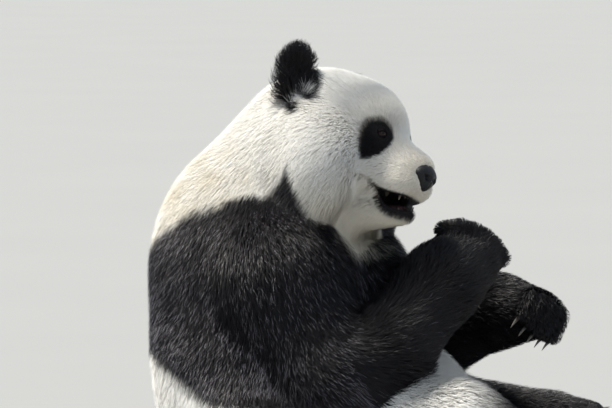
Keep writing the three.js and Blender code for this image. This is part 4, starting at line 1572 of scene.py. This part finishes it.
class Coat:
    """Tufts over the skin: curved blades that rise from the root and lie down along the body."""

    TAPER = (1.0, 0.82, 0.6)  # width of a blade at its successive places
    ROLL = 0.75  # how far a black blade rolls about its length, in radians
    WHITE_ROLL = 0.4  # share of that for a white one
    SINK = 0.0012  # how deep a root stands under the skin
    REACH = 0.03  # farthest that a place is moved at once
    LOW_MIDDLE = 0.0015  # least height of a blade's middle line over the floor
    LOW_EDGE = 0.001  # least height of its edges
    PATCH = 0.0015  # half the side of a tuft's patch in the map
    RIM = 0.01  # margin of the map
    TRUNK_X = 0.07  # how far forward the trunk's upright axis stands
    SEAMS = (55, 125)  # degrees round that axis at which the trunk's sectors part
    LOCKS = ((0.055, 0.7), (0.023, 1.9), (0.011, 2.6))  # waves that turn whole locks: length and phase

    def __init__(self, form: Form, skin: Skin, markings: Markings, seed: int = 7) -> None:
        """Splits the skin's quads into triangles and sorts them by region.

        Args:
            form: the animal.
            skin: its hide.
            markings: where it is black.
            seed: start of the random draws.
        """
        self.form, self.skin, self.markings = form, skin, markings
        self.random = np.random.default_rng(seed)
        q = skin.quads
        self.triangles = np.concatenate([q[:, [0, 1, 2]], q[:, [0, 2, 3]]])
        corners = skin.points[self.triangles].astype(np.float64)
        across = np.cross(corners[:, 1] - corners[:, 0], corners[:, 2] - corners[:, 0])
        self.areas = np.linalg.norm(across, axis=1) / 2
        main = skin.share.argmax(0)
        kinds = list(Region)
        of_blob = np.array([kinds.index(r) for r in form.regions])
        self.region = of_blob[main[self.triangles[:, 0]]]
        middle = corners.mean(1)
        order = np.lexsort((middle[:, 0], np.round(middle[:, 1], 2), np.round(middle[:, 2], 2)))
        self.triangles, self.areas, self.region = self.triangles[order], self.areas[order], self.region[order]

    def roots(self, region: Region, density: float) -> Roots:
        """Scatters roots evenly over a region, by stratified draws on the summed areas of its triangles.

        Args:
            region: where to grow.
            density: roots on a square centimetre.

        Returns:
            The roots, without those where no hair grows.
        """
        rows = np.nonzero(self.region == list(Region).index(region))[0]
        total = np.cumsum(self.areas[rows])
        number = int(total[-1] * density * 1e4)
        draw = (np.arange(number) + self.random.random(number)) / number * total[-1]
        picked = self.triangles[rows[np.minimum(np.searchsorted(total, draw), len(rows) - 1)]]
        a, b = self.random.random((2, number))
        fold = a + b > 1.0
        a, b = np.where(fold, 1 - a, a), np.where(fold, 1 - b, b)
        mix = np.stack([1 - a - b, a, b], axis=1).astype(np.float32)

        def blend(values: Array) -> Array:
            """A measure of the skin's points at the roots."""
            return np.einsum("nk,nk...->n...", mix, values[picked])

        s = self.skin
        share = np.stack([blend(row) for row in s.share])
        made = Roots(blend(s.points), unit(blend(s.normals)), share, blend(s.depth), blend(s.black))
        made = made.take(~self.markings.bare(made.at))
        made.black = self.markings.black(made.at, made.share)
        return made

    def lie(self, roots: Roots, stray: float, together: float) -> Array:
        """The way each tuft lies: the blobs' own lies blended by share, laid in the skin and turned a little.

        Args:
            roots: where the tufts grow.
            stray: how far a tuft turns by itself, in radians.
            together: how far whole locks turn.

        Returns:
            One unit vector for each root.
        """
        way = np.zeros_like(roots.at)
        for blob, share in zip(self.form.blobs, roots.share):
            near = share > 0.01
            way[near] += unit(blob.lie(roots.at[near]).astype(np.float32)) * share[near, None]
        way = unit(way - roots.normal * (way * roots.normal).sum(1, keepdims=True))
        lock = sum(ripple(roots.at, *wave) for wave in self.LOCKS)
        turn = together * lock + stray * self.random.standard_normal(len(way))
        side = np.cross(roots.normal, way)
        return way * np.cos(turn)[:, None] + side * np.sin(turn)[:, None]

    def blades(self, name: str, roots: Roots, pelt: Pelt, longer: float = 1.0, finer: float = 1.0,
               rise: Tuple[float, float] = (0.82, 1.02)) -> Tuple[Array, List[Array], Array]:
        """Blades as arrays: each is a strip of quads with a point, bent so that its tip ends the coat.

        A place t along the blade lies at length times t in the way of the coat, at the height of depth times
        (1 - (1 - t) squared); the form then says how far off that height it is, and it is moved by that much.

        Args:
            name: of the piece, for the log.
            roots: where the blades grow.
            pelt: how the region is grown.
            longer: factor on length.
            finer: factor on width.
            rise: range of how high tips stand, as a share of the coat's depth.

        Returns:
            The points, the faces, and how far along its blade each point is.
        """
        count, steps = len(roots.at), pelt.steps
        random = self.random
        way = self.lie(roots, pelt.stray, pelt.lock)
        measures = self.form.table.T @ roots.share
        thin = np.clip(roots.depth / np.maximum(measures[0], 1e-4), 0.35, 1.0)
        length = measures[1] * thin * longer * (0.72 + 0.42 * random.random(count))
        width = measures[2] * finer * (0.8 + 0.4 * random.random(count)) * (0.6 + 0.4 * thin)
        top = rise[0] + (rise[1] - rise[0]) * random.random(count)
        roll = random.uniform(-self.ROLL, self.ROLL, count)
        roll = roll * (self.WHITE_ROLL + (1.0 - self.WHITE_ROLL) * roots.black)
        side = np.cross(roots.normal, way)
        across = side * np.cos(roll)[:, None] + roots.normal * np.sin(roll)[:, None]
        stops = np.linspace(0.0, 1.0, steps + 2)
        points = np.empty((count, 2 * steps + 3, 3), np.float32)
        for k, t in enumerate(stops):
            lift = roots.depth * top * (1.0 - (1.0 - t) ** 2.0)
            centre = roots.at + way * (length * t)[:, None] + roots.normal * (lift - self.SINK)[:, None]
            if t > 0.0:
                for _ in range(2):
                    off = self.form.tips(centre.astype(np.float32)) - (lift - roots.depth)
                    centre = centre - roots.normal * np.clip(off, -self.REACH, self.REACH)[:, None]
            centre[:, 2] = np.maximum(centre[:, 2], self.LOW_MIDDLE)
            half = across * (width * 0.5 * self.TAPER[min(k, 2)])[:, None]
            if k <= steps:
                points[:, 2 * k] = centre - half
                points[:, 2 * k + 1] = centre + half
            else:
                points[:, 2 * k] = centre
        first = (np.arange(count) * (2 * steps + 3))[:, None]
        faces = [first + np.array([2 * k, 2 * k + 1, 2 * k + 3, 2 * k + 2]) for k in range(steps)]
        faces.append(first + np.array([2 * steps, 2 * steps + 1, 2 * steps + 2]))
        along = np.repeat(stops, 2)[:-1]
        log.info("%s: %d tufts", name, count)
        points[..., 2] = np.maximum(points[..., 2], self.LOW_EDGE)
        return points.reshape(-1, 3), faces, np.tile(along, count)

    def patches(self, piece: Piece, at: Array, origin: Array, axes: Array, steps: int) -> None:
        """Writes the OFBake map: a small patch for each tuft, at its root's place on a cylinder.

        Args:
            piece: the coat piece.
            at: its roots.
            origin: a place on the cylinder's axis.
            axes: columns, the third along the axis and the first where the seam is not.
            steps: quads in a blade.
        """
        half = self.PATCH
        local = (at - origin) @ axes
        angle = np.arctan2(local[:, 1], local[:, 0])
        flat = np.stack([angle, local[:, 2]], axis=1)
        low, high = flat.min(0), flat.max(0)
        flat = self.RIM + (1.0 - 2.0 * self.RIM) * (flat - low) / np.maximum(high - low, 1e-6)
        corner = np.empty((2 * steps + 3, 2))
        rows = np.linspace(-half, half, steps + 2)
        for k in range(steps + 1):
            corner[2 * k] = (-half, rows[k])
            corner[2 * k + 1] = (half, rows[k])
        corner[-1] = (0.0, half)
        uv = (flat[:, None, :] + corner[None]).reshape(-1, 2).astype(np.float32)
        loops = np.empty(len(piece.data.loops), np.int32)
        piece.data.loops.foreach_get("vertex_index", loops)
        layer = piece.data.uv_layers.new(name="OFBake")
        layer.data.foreach_set("uv", uv[loops].reshape(-1))

    def grow(self, name: str, roots: Roots, pelt: Pelt, material: Material, slot: str,
             origin: Array, axes: Array, **shape: object) -> Piece:
        """One piece of the coat.

        Args:
            name: of the piece.
            roots: where its tufts grow.
            pelt: how it is grown.
            material: its finish.
            slot: its slot in the frame.
            origin: a place on the axis of its map.
            axes: frame of its map.
            shape: longer, finer and rise, as for blades.

        Returns:
            The piece.
        """
        points, faces, along = self.blades(name, roots, pelt, **shape)
        piece = make_mesh(name, points, faces)
        each = 2 * pelt.steps + 3
        write_attribute(piece, "along", along)
        write_attribute(piece, "black", np.repeat(roots.black, each))
        write_attribute(piece, "stain_and_shade", np.repeat(self.stain_and_shade(roots.at), each))
        self.patches(piece, roots.at, origin, axes, pelt.steps)
        return dress(piece, material, slot)

    @staticmethod
    def stain_and_shade(p: Array) -> Array:
        """Yellowing of the white hair: stain on the nape and near the floor, and under the jaw, in the ruff,
        partly stain and partly painted shade below the cheek.

        Args:
            p: places.

        Returns:
            From 0 for clean to 1.
        """
        x, z = p[:, 0], p[:, 2]
        nape = np.exp(-(((z - 0.66) / 0.11) ** 2)) * smoothstep(0.16, -0.02, x)
        low = smoothstep(0.14, 0.03, z)
        ruff = smoothstep(0.77, 0.63, z) * smoothstep(0.05, 0.13, x) * smoothstep(0.52, 0.56, z)
        return np.clip(nape * (0.6 + 0.4 * ripple(p, 0.08, 1.2)) + 0.6 * low + ruff, 0.0, 1.0)

    def build(self, hair: Material, glint_finish: Material) -> None:
        """Grows every region, the trunk in four sectors and the head in two halves.

        Args:
            hair: finish of the coat.
            glint_finish: finish of its stray hairs, whose pale tips are a painted highlight.
        """
        self._trunk(hair)
        head = self.roots(Region.HEAD, PELTS[Region.HEAD].density)
        v = HEAD.local(head.at)[:, 1]
        for name, mask, s in (("coat_head_right", v < 0, -1.0), ("coat_head_left", v >= 0, 1.0)):
            axes = axes_of(HEAD.way([0.0, s, 0.0]), HEAD.way([0, 0, 1.0]))
            self.grow(name, head.take(mask), PELTS[Region.HEAD], hair, "white_fur", mm(HEAD.centre), axes,
                      rise=(0.94, 1.0))
        face_axes = axes_of(HEAD.way([0, 0, 1.0]), HEAD.way([1.0, 0, 0]))
        self._region(Region.FACE, hair, "white_fur", HEAD.point([100, 0, -90]), face_axes)
        self._region(Region.NECK, hair, "white_fur", mm([90, 0, 650]), np.eye(3), rise=(0.92, 1.0))
        tail_axes = axes_of(np.array([0, 0, 1.0]), np.array([-1.0, 0, 0]))
        self._region(Region.TAIL, hair, "white_fur", mm([-170, 0, 58]), tail_axes)
        for side in SIDES:
            self._limbs(side, hair)
        self._painted_glint_hairs(glint_finish)

    def _region(self, region: Region, hair: Material, slot: str, origin: Array, axes: Array,
                **shape: object) -> None:
        """Grows a whole region as one piece of the coat.

        Args:
            region: where to grow; the piece is named after it.
            hair: its finish.
            slot: its slot in the frame.
            origin: a place on the axis of its map.
            axes: frame of its map.
            shape: longer, finer and rise, as for blades.
        """
        pelt = PELTS[region]
        roots = self.roots(region, pelt.density)
        self.grow("coat_" + region.value, roots, pelt, hair, slot, origin, axes, **shape)

    def _trunk(self, hair: Material) -> None:
        """Grows the trunk, in sectors round its upright axis.

        Args:
            hair: its finish.
        """
        pelt = PELTS[Region.TRUNK]
        trunk = self.roots(Region.TRUNK, pelt.density)
        angle = np.degrees(np.arctan2(trunk.at[:, 1], trunk.at[:, 0] - self.TRUNK_X))
        fore, rear = self.SEAMS
        sectors = {
            "coat_belly": np.abs(angle) < fore,
            "coat_flank_right": (angle <= -fore) & (angle > -rear),
            "coat_flank_left": (angle >= fore) & (angle < rear),
            "coat_back": np.abs(angle) >= rear,
        }
        for name, mask in sectors.items():
            part = trunk.take(mask)
            middle = np.array([part.at[:, 0].mean() - self.TRUNK_X, part.at[:, 1].mean(), 0.0])
            axes = axes_of(middle, np.array([0, 0, 1.0]))
            self.grow(name, part, pelt, hair, "white_fur", np.array([self.TRUNK_X, 0, 0]), axes)

    def _limbs(self, side: str, hair: Material) -> None:
        """Ear, arm, forearm, leg and foot of one side, each unwrapped round its own length.

        Args:
            side: right or left.
            hair: their finish.
        """
        arm, leg = FORELEGS[side], HIND_LEGS[side]
        spans = {
            "EAR": (self.form.ear_point(side, [0, 0, -60]), self.form.ear_point(side, [0, 0, 60])),
            "ARM": (mm(arm.shoulder), mm(arm.elbow)),
            "FOREARM": (mm(arm.elbow), mm(arm.paw)),
            "LEG": (mm(leg.hip), mm(leg.ankle)),
            "FOOT": (mm(leg.heel), mm(leg.ball)),
        }
        for name, (start, end) in spans.items():
            axes = axes_of(np.array([0.0, SIDES[side], 0.3]), end - start)
            shape = {"rise": (0.9, 1.45), "longer": 1.2} if name == "EAR" else {}
            slot = "white_fur" if name == "LEG" else "black_fur"
            self._region(Region[name + "_" + side.upper()], hair, slot, start, axes, **shape)

    def _painted_glint_hairs(self, material: Material) -> None:
        """Pale-tipped stray hairs over the black, a painted highlight for sun glints, thickest low on the
        flanks, at the shoulders' top and on the back.

        Args:
            material: their finish.
        """
        found = []
        for region, density in ((Region.TRUNK, 7.5), (Region.ARM_RIGHT, 7.0), (Region.ARM_LEFT, 4.5),
                                (Region.FOREARM_RIGHT, 0.4), (Region.FOREARM_LEFT, 0.5)):
            roots = self.roots(region, density)
            z = roots.at[:, 2]
            # more hairs with painted glints low down, high on the shoulders and towards the back, where the
            # light rakes
            share = 0.3 + 0.7 * smoothstep(0.46, 0.28, z) + 0.3 * smoothstep(0.5, 0.62, z)
            share = share + 0.35 * smoothstep(-0.04, -0.14, roots.at[:, 0])
            patchy = 0.65 + 0.5 * ripple(roots.at, 0.09, 0.9)
            lucky = self.random.random(len(z)) < share * patchy
            found.append(roots.take((roots.black > 0.9) & lucky))
        pelt = Pelt(density=0.0, stray=0.2, lock=0.1, steps=2)
        self.grow("coat_painted_glint_hairs", Roots.gathered(found), pelt, material, "black_fur", mm([120, 0, 0]),
                  np.eye(3), longer=0.6, finer=0.28, rise=(0.97, 1.1))


# -------------------------------- eyes, nose, mouth and claws


@dataclass
class Eye:
    """One eye with its lids; angles are in degrees off the line of sight."""

    side: str
    form: Form
    radius: float = 0.0117
    cornea: float = 0.0007  # how far it stands out
    cornea_edge: Tuple[float, float] = (34.0, 12.0)  # where it begins and where it is full
    half_open: Tuple[float, float] = (45.0, 25.0)  # along and across the slit
    lid_end: float = 98.0
    rim: float = 0.0011  # how thick the lid is
    crease: Tuple[float, float] = (0.0007, 13.0)  # its depth, and how far it lies from the slit
    clearance: float = 0.0001  # between eyeball and lid

    def axes(self) -> Array:
        """Frame of the eye.

        Returns:
            Columns along its gaze, towards the animal's left and up.
        """
        s = SIDES[self.side]
        gaze = HEAD.way([EYE_GAZE[0], EYE_GAZE[1] * s, EYE_GAZE[2]])
        return axes_of(gaze, HEAD.way([0.0, 0.25 * s, 1.0]))

    def place(self, points: Array) -> Array:
        """Points of the eye's own frame in the part."""
        return points @ self.axes().T + self.form.eyes[self.side]

    def ball(self, material: Material) -> Piece:
        """The eyeball: a sphere with a low second curve over the iris.

        Args:
            material: its finish.

        Returns:
            The piece.
        """
        start, full = (math.radians(a) for a in self.cornea_edge)

        def radius(off: Array) -> Array:
            """Distance from the eye's middle at an angle off the line of sight."""
            return self.radius - self.cornea + self.cornea * smoothstep(start, full, off)

        points, faces = turned_surface(radius, 40, 56)
        ring = np.arccos(np.clip(unit(points)[:, 0], -1, 1)) / math.pi
        piece = make_mesh("eyeball_" + self.side, self.place(points), faces)
        write_attribute(piece, "ring", ring)
        return dress(piece, material, "eye", "eye_" + self.side)

    def lids(self, material: Material) -> Piece:
        """The lids: from the almond slit they roll over a rim and run back round the eyeball into the skin.

        Args:
            material: their finish.

        Returns:
            The piece.
        """
        rows, columns = 16, 84
        turn = np.linspace(0, 2 * math.pi, columns, endpoint=False)
        v, around = np.meshgrid(np.linspace(0, 1, rows), turn, indexing="ij")
        long, short = (math.radians(a) for a in self.half_open)
        flat = np.abs(np.sin(around)) ** 1.25
        slit = 1.0 / np.sqrt((np.cos(around) / long) ** 2 + (flat / short) ** 2)
        off = slit + (math.radians(self.lid_end) - slit) * v**1.5
        roll = self.rim * np.sin(np.clip(v / 0.22, 0, 1) * math.pi / 2)
        upper = smoothstep(0.1, 0.7, np.sin(around))
        deep, far = self.crease
        crease = deep * upper * np.exp(-(((off - slit) / math.radians(far) - 1.0) / 0.3) ** 2)
        r = self.radius + self.clearance + roll + 0.0004 * upper - crease
        points = on_sphere(off, around, r).reshape(-1, 3)
        piece = make_mesh("lids_" + self.side, self.place(points), [ring_faces(rows, columns)[:, ::-1]])
        return dress(piece, material, "black_fur")


@dataclass
class Nose:
    """The nose pad, with its nostrils and the groove between them."""

    radii: Triple = (0.021, 0.0355, 0.028)
    nostril: float = 0.0125  # depth of the dent
    slit: float = 0.0055
    groove: float = 0.0018

    def build(self, material: Material) -> Piece:
        """An ellipsoid that narrows downward, pressed in where the nostrils and the groove are.

        Each nostril is a deep round dent with a shallower slit that runs out from it and up.

        Args:
            material: its finish.

        Returns:
            The piece.
        """
        points, faces = turned_surface(np.ones_like, 84, 120)
        p = points * np.array(self.radii)
        u, v, w = p[:, 0], p[:, 1], p[:, 2]
        low = smoothstep(0.004, -0.022, w)
        v = v * (1.0 - 0.34 * low)
        u = u - 0.002 * low
        front = smoothstep(0.0, 0.008, u)
        out = np.abs(v)
        hole = np.exp(-((out - 0.0125) / 0.0052) ** 2 - ((w + 0.0035) / 0.0048) ** 2)
        slit = np.exp(-((out - 0.0205) / 0.0055) ** 2 - ((w - 0.0005 - 0.3 * (out - 0.02)) / 0.0026) ** 2)
        groove = np.exp(-((v / 0.0013) ** 2)) * smoothstep(0.0, -0.006, w)
        u = u - front * (self.nostril * hole + self.slit * slit + self.groove * groove)
        local = np.stack([u, v, w], axis=1) + mm(NOSE_AT)
        piece = make_mesh("nose_leather", HEAD.out(local), faces)
        return dress(piece, material, "nose", "nose_pad")


ConeMesh = Tuple[Array, List[Array], Array]
FLATNESS = 0.72  # a claw's or tooth's thickness across its bend


@dataclass
class MouthParts:
    """Tongue and teeth."""

    tongue_at: Triple = (150, 0, -158)
    tongue_radii: Triple = (0.048, 0.0165, 0.0125)

    def tongue(self, material: Material) -> Piece:
        """A flat ellipsoid, grooved along its middle, whose tip curls up a little.

        Args:
            material: its finish.

        Returns:
            The piece.
        """
        points, faces = turned_surface(np.ones_like, 48, 64)
        p = points * np.array(self.tongue_radii)
        lift = 0.004 * smoothstep(0.0, self.tongue_radii[0], p[:, 0])
        groove = 0.0022 * np.exp(-((p[:, 1] / 0.003) ** 2)) * (p[:, 2] > 0)
        p[:, 2] += lift - groove
        piece = make_mesh("tongue_flesh", HEAD.out(p + mm(self.tongue_at)), faces)
        return dress(piece, material, "tongue", "tongue")

    @staticmethod
    def _row(front: float, half: float, level: float, way: int) -> List[Tuple[Triple, float, float, int]]:
        """The teeth of one jaw: on each side a canine, a cheek tooth and two front teeth.

        Args:
            front: how far forward the jaw reaches, in millimetres in the head.
            half: how far out the canines stand.
            level: height of the gum.
            way: 1 for teeth that point up and -1 for down.

        Returns:
            Root, height, radius and way of each tooth.
        """
        row = []
        for s in SIDES.values():
            row.append(((front - 12, s * half, level), 13, 5, way))
            row.append(((front - 40, s * (half + 5), level), 9, 6, way))
            row.extend(((front - 5 * step, s * half * step, level), 7, 4, way) for step in (0.22, 0.66))
        return row

    def teeth(self, material: Material) -> Piece:
        """Canines, front teeth and cheek teeth: blunt curved cones along the head's own upright.

        Args:
            material: their finish.

        Returns:
            The piece.
        """
        u, w = MOUTH_CORNER
        cones = []
        rows = self._row(u + 62, 17, w - 53, 1) + self._row(u + 60, 20, w - 16, -1)
        for (a, b, c), height, thick, way in rows:
            root, up, length = mm([a, b, c - way * 3]), np.array([0, 0, float(way)]), (height + 2) * MM
            points, faces, t = curved_cone(root, up, np.array([1.0, 0, 0]), length, thick * MM, -0.12, 0.8)
            cones.append((HEAD.out(points), faces, t))
        return dress(merge_cones("teeth", cones), material, "claw")


def curved_cone(root: Array, way: Array, side: Array, length: float, thick: float, bend: float,
                blunt: float) -> ConeMesh:
    """A cone along an arc.

    At t its middle is at length times t along the way and bend times length times t squared sideways, and its
    radius is thick times (1 - t) to the power blunt over a flattened round.

    Args:
        root: middle of its base.
        way: direction in which it leaves.
        side: direction in which it bends.
        length: along the way.
        thick: radius at the base.
        bend: share of the length by which it bends.
        blunt: under one for a blunt tip.

    Returns:
        Points, faces as quads and two fans of triangles, and how far along each point is.
    """
    rows, columns = 12, 14
    side = unit(side - way * float(side @ way))
    third = np.cross(way, side)
    t = np.linspace(0, 0.97, rows)
    around = np.linspace(0, 2 * math.pi, columns, endpoint=False)
    middle = root + np.outer(t, way) * length + np.outer(t * t, side) * bend * length
    r = thick * (1 - t) ** blunt
    ring = np.cos(around)[:, None] * side + FLATNESS * np.sin(around)[:, None] * third
    body = middle[:, None, :] + r[:, None, None] * ring[None]
    tip = root + way * length + side * bend * length
    points = np.concatenate([body.reshape(-1, 3), [root, tip]])
    first, tail = np.arange(columns), rows * columns
    base, cap = disc(tail, first)[:, ::-1], disc(tail + 1, first + tail - columns)
    along = np.concatenate([np.repeat(t, columns), [0.0, 1.0]])
    return points, [ring_faces(rows, columns), base, cap], along


def merge_cones(name: str, cones: Sequence[ConeMesh]) -> Piece:
    """Makes one piece of several cones, which says how far along its cone each point is.

    Args:
        name: of the piece.
        cones: what curved_cone gave for each.

    Returns:
        The piece.
    """
    points, faces, along = zip(*cones)
    first = np.cumsum([0] + [len(p) for p in points])
    merged = [np.concatenate([f[k] + start for f, start in zip(faces, first)]) for k in range(3)]
    piece = make_mesh(name, np.concatenate(points), merged)
    write_attribute(piece, "along", np.concatenate(along))
    return piece


@dataclass
class Claws:
    """The five claws of one paw; lengths are in millimetres."""

    side: str
    fore: bool
    thick: float = 7.2
    shown: Tuple[float, float] = (18, 16)  # how far a fore claw and a hind claw stand out of the digit

    def build(self, material: Material) -> Piece:
        """Curved cones that start inside the digits.

        Args:
            material: their finish.

        Returns:
            The piece.
        """
        kind, digit_of = ("fore", fore_digit) if self.fore else ("hind", hind_digit)
        shown = self.shown[0 if self.fore else 1] * MM
        cones = []
        for i in DIGITS:
            digit = digit_of(self.side, i)
            length = float(digit["thick"]) + shown
            places = digit["tip"], digit["claw"], digit["palm"]
            cones.append(curved_cone(*places, length, self.thick * MM, 0.3, 0.75))
        nodes = [f"{kind}_claw_{self.side}_{n}" for n in range(1, 6)]
        return dress(merge_cones(f"{kind}_claws_{self.side}", cones), material, "claw", *nodes)


# -------------------------------- studio


@dataclass
class Studio:
    """Floor, lights and camera; lengths in metres, angles in degrees."""

    aim: Triple = (0.135, 0.0, 0.640)
    distance: float = 7.0
    elevation: float = 5.0
    lens: float = 201.0  # millimetres
    reach: float = 60.0  # half the side of the floor
    sky: Tuple[Triple, float] = ((0.74, 0.85, 1.0), 0.52)  # colour and strength

    def floor(self) -> None:
        """A wide plain floor."""
        corners = np.array([[-1.0, -1.0, 0.0], [1.0, -1.0, 0.0], [1.0, 1.0, 0.0], [-1.0, 1.0, 0.0]])
        piece = make_mesh("floor", corners * self.reach, [np.array([[0, 1, 2, 3]])])
        g = Graph("floor_paint", Roughness=0.9, Specular_IOR_Level=0.2)
        tone = g.mix(g.noise(0.8), (0.315, 0.32, 0.318), (0.335, 0.338, 0.335))
        piece.data.materials.append(g.shade(Base_Color=tone))

    @staticmethod
    def _sun(name: str, towards: Sequence[float], spread: float, power: float, colour: Triple) -> None:
        """A wide, soft, far lamp that stands in the given direction.

        Args:
            name: the lamp's name.
            towards: from the animal to the lamp.
            spread: degrees that the lamp fills, which softens its shadows.
            power: its strength.
            colour: its colour.
        """
        data = bpy.data.lights.new(name, "SUN")
        data.angle = math.radians(spread)
        data.energy = power
        data.color = colour
        lamp = bpy.data.objects.new(name, data)
        lamp.rotation_euler = Vector(towards).to_track_quat("Z", "Y").to_euler()
        bpy.context.scene.collection.objects.link(lamp)

    def lights(self) -> None:
        """A warm key from above and behind on the left, a cool fill from the camera's side, and a sky."""
        self._sun("key", (-0.42, 0.12, 0.9), 22.0, 5.9, (1.0, 0.955, 0.87))
        self._sun("front_fill", (0.35, -0.8, 0.5), 70.0, 0.28, (0.84, 0.91, 1.0))
        world = bpy.data.worlds.new("sky")
        bpy.context.scene.world = world
        world.use_nodes = True
        colour, strength = self.sky
        background = world.node_tree.nodes["Background"].inputs
        background["Color"].default_value = (*colour, 1.0)
        background["Strength"].default_value = strength

    def camera(self) -> None:
        """Looks along +Y from a little above, with a long lens."""
        data = bpy.data.cameras.new("camera")
        data.lens = self.lens
        data.sensor_width = 36.0
        data.clip_end = 300.0
        camera = bpy.data.objects.new("camera", data)
        tilt = math.radians(self.elevation)
        back = Vector((0.0, -math.cos(tilt), math.sin(tilt)))
        camera.location = Vector(self.aim) + back * self.distance
        camera.rotation_euler = (-back).to_track_quat("-Z", "Y").to_euler()
        bpy.context.scene.collection.objects.link(camera)
        bpy.context.scene.camera = camera

    def build(self) -> None:
        """Sets the whole stage."""
        self.floor()
        self.lights()
        self.camera()
        bpy.context.scene.view_settings.view_transform = "Standard"


# -------------------------------- the whole


LID_LEATHER = LeatherFinish(
    name="lid_leather", low=(0.004, 0.0035, 0.004), high=(0.012, 0.010, 0.011), roughness=(0.8, 0.9),
    pebble=900.0, depth=0.0004, gloss=0.0,
)
NOSE_LEATHER = LeatherFinish(
    name="nose_leather", low=(0.004, 0.004, 0.0045), high=(0.018, 0.019, 0.022), roughness=(0.32, 0.5),
    pebble=620.0, depth=0.0006, wet=0.05, gloss=0.2,
)
TONGUE_FLESH = LeatherFinish(
    name="tongue_flesh", low=(0.12, 0.05, 0.06), high=(0.32, 0.14, 0.15), roughness=(0.28, 0.42),
    pebble=800.0, depth=0.0005, wet=0.5,
)
# teeth coloured dark: painted shade, as they sit in the shadow of the mouth
TOOTH_IVORY = HornFinish("tooth_ivory", root=(0.2, 0.15, 0.11), tip=(0.46, 0.4, 0.33), roughness=0.35)
CLAW_HORN = HornFinish("claw_horn", root=(0.03, 0.026, 0.024), tip=(0.25, 0.23, 0.21), roughness=0.42)


def flesh_nodes() -> List[str]:
    """The frame's nodes that the skin stands for."""
    kept = ("eye_", "nose_pad", "tongue", "fore_claw", "hind_claw")
    return [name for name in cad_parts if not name.startswith(kept)]


def main() -> None:
    """Builds the animal and its stage."""
    logging.basicConfig(level=logging.INFO, format="%(name)s %(message)s")
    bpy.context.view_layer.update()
    Studio().build()
    form = Form()
    markings = Markings(form)
    skin = Skin(form, markings)
    skin.build(SkinFinish().material(), flesh_nodes())
    Coat(form, skin, markings).build(CoatFinish().material(), PaintedGlintHairFinish().material())
    wet_eye, lids = EyeFinish().material(), LID_LEATHER.material()
    for side in SIDES:
        eye = Eye(side, form)
        eye.ball(wet_eye)
        eye.lids(lids)
    Nose().build(NOSE_LEATHER.material())
    parts = MouthParts()
    parts.tongue(TONGUE_FLESH.material())
    parts.teeth(TOOTH_IVORY.material())
    horn = CLAW_HORN.material()
    for side in SIDES:
        Claws(side, fore=True).build(horn)
        Claws(side, fore=False).build(horn)
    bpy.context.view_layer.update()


if __name__ == "__main__":
    main()
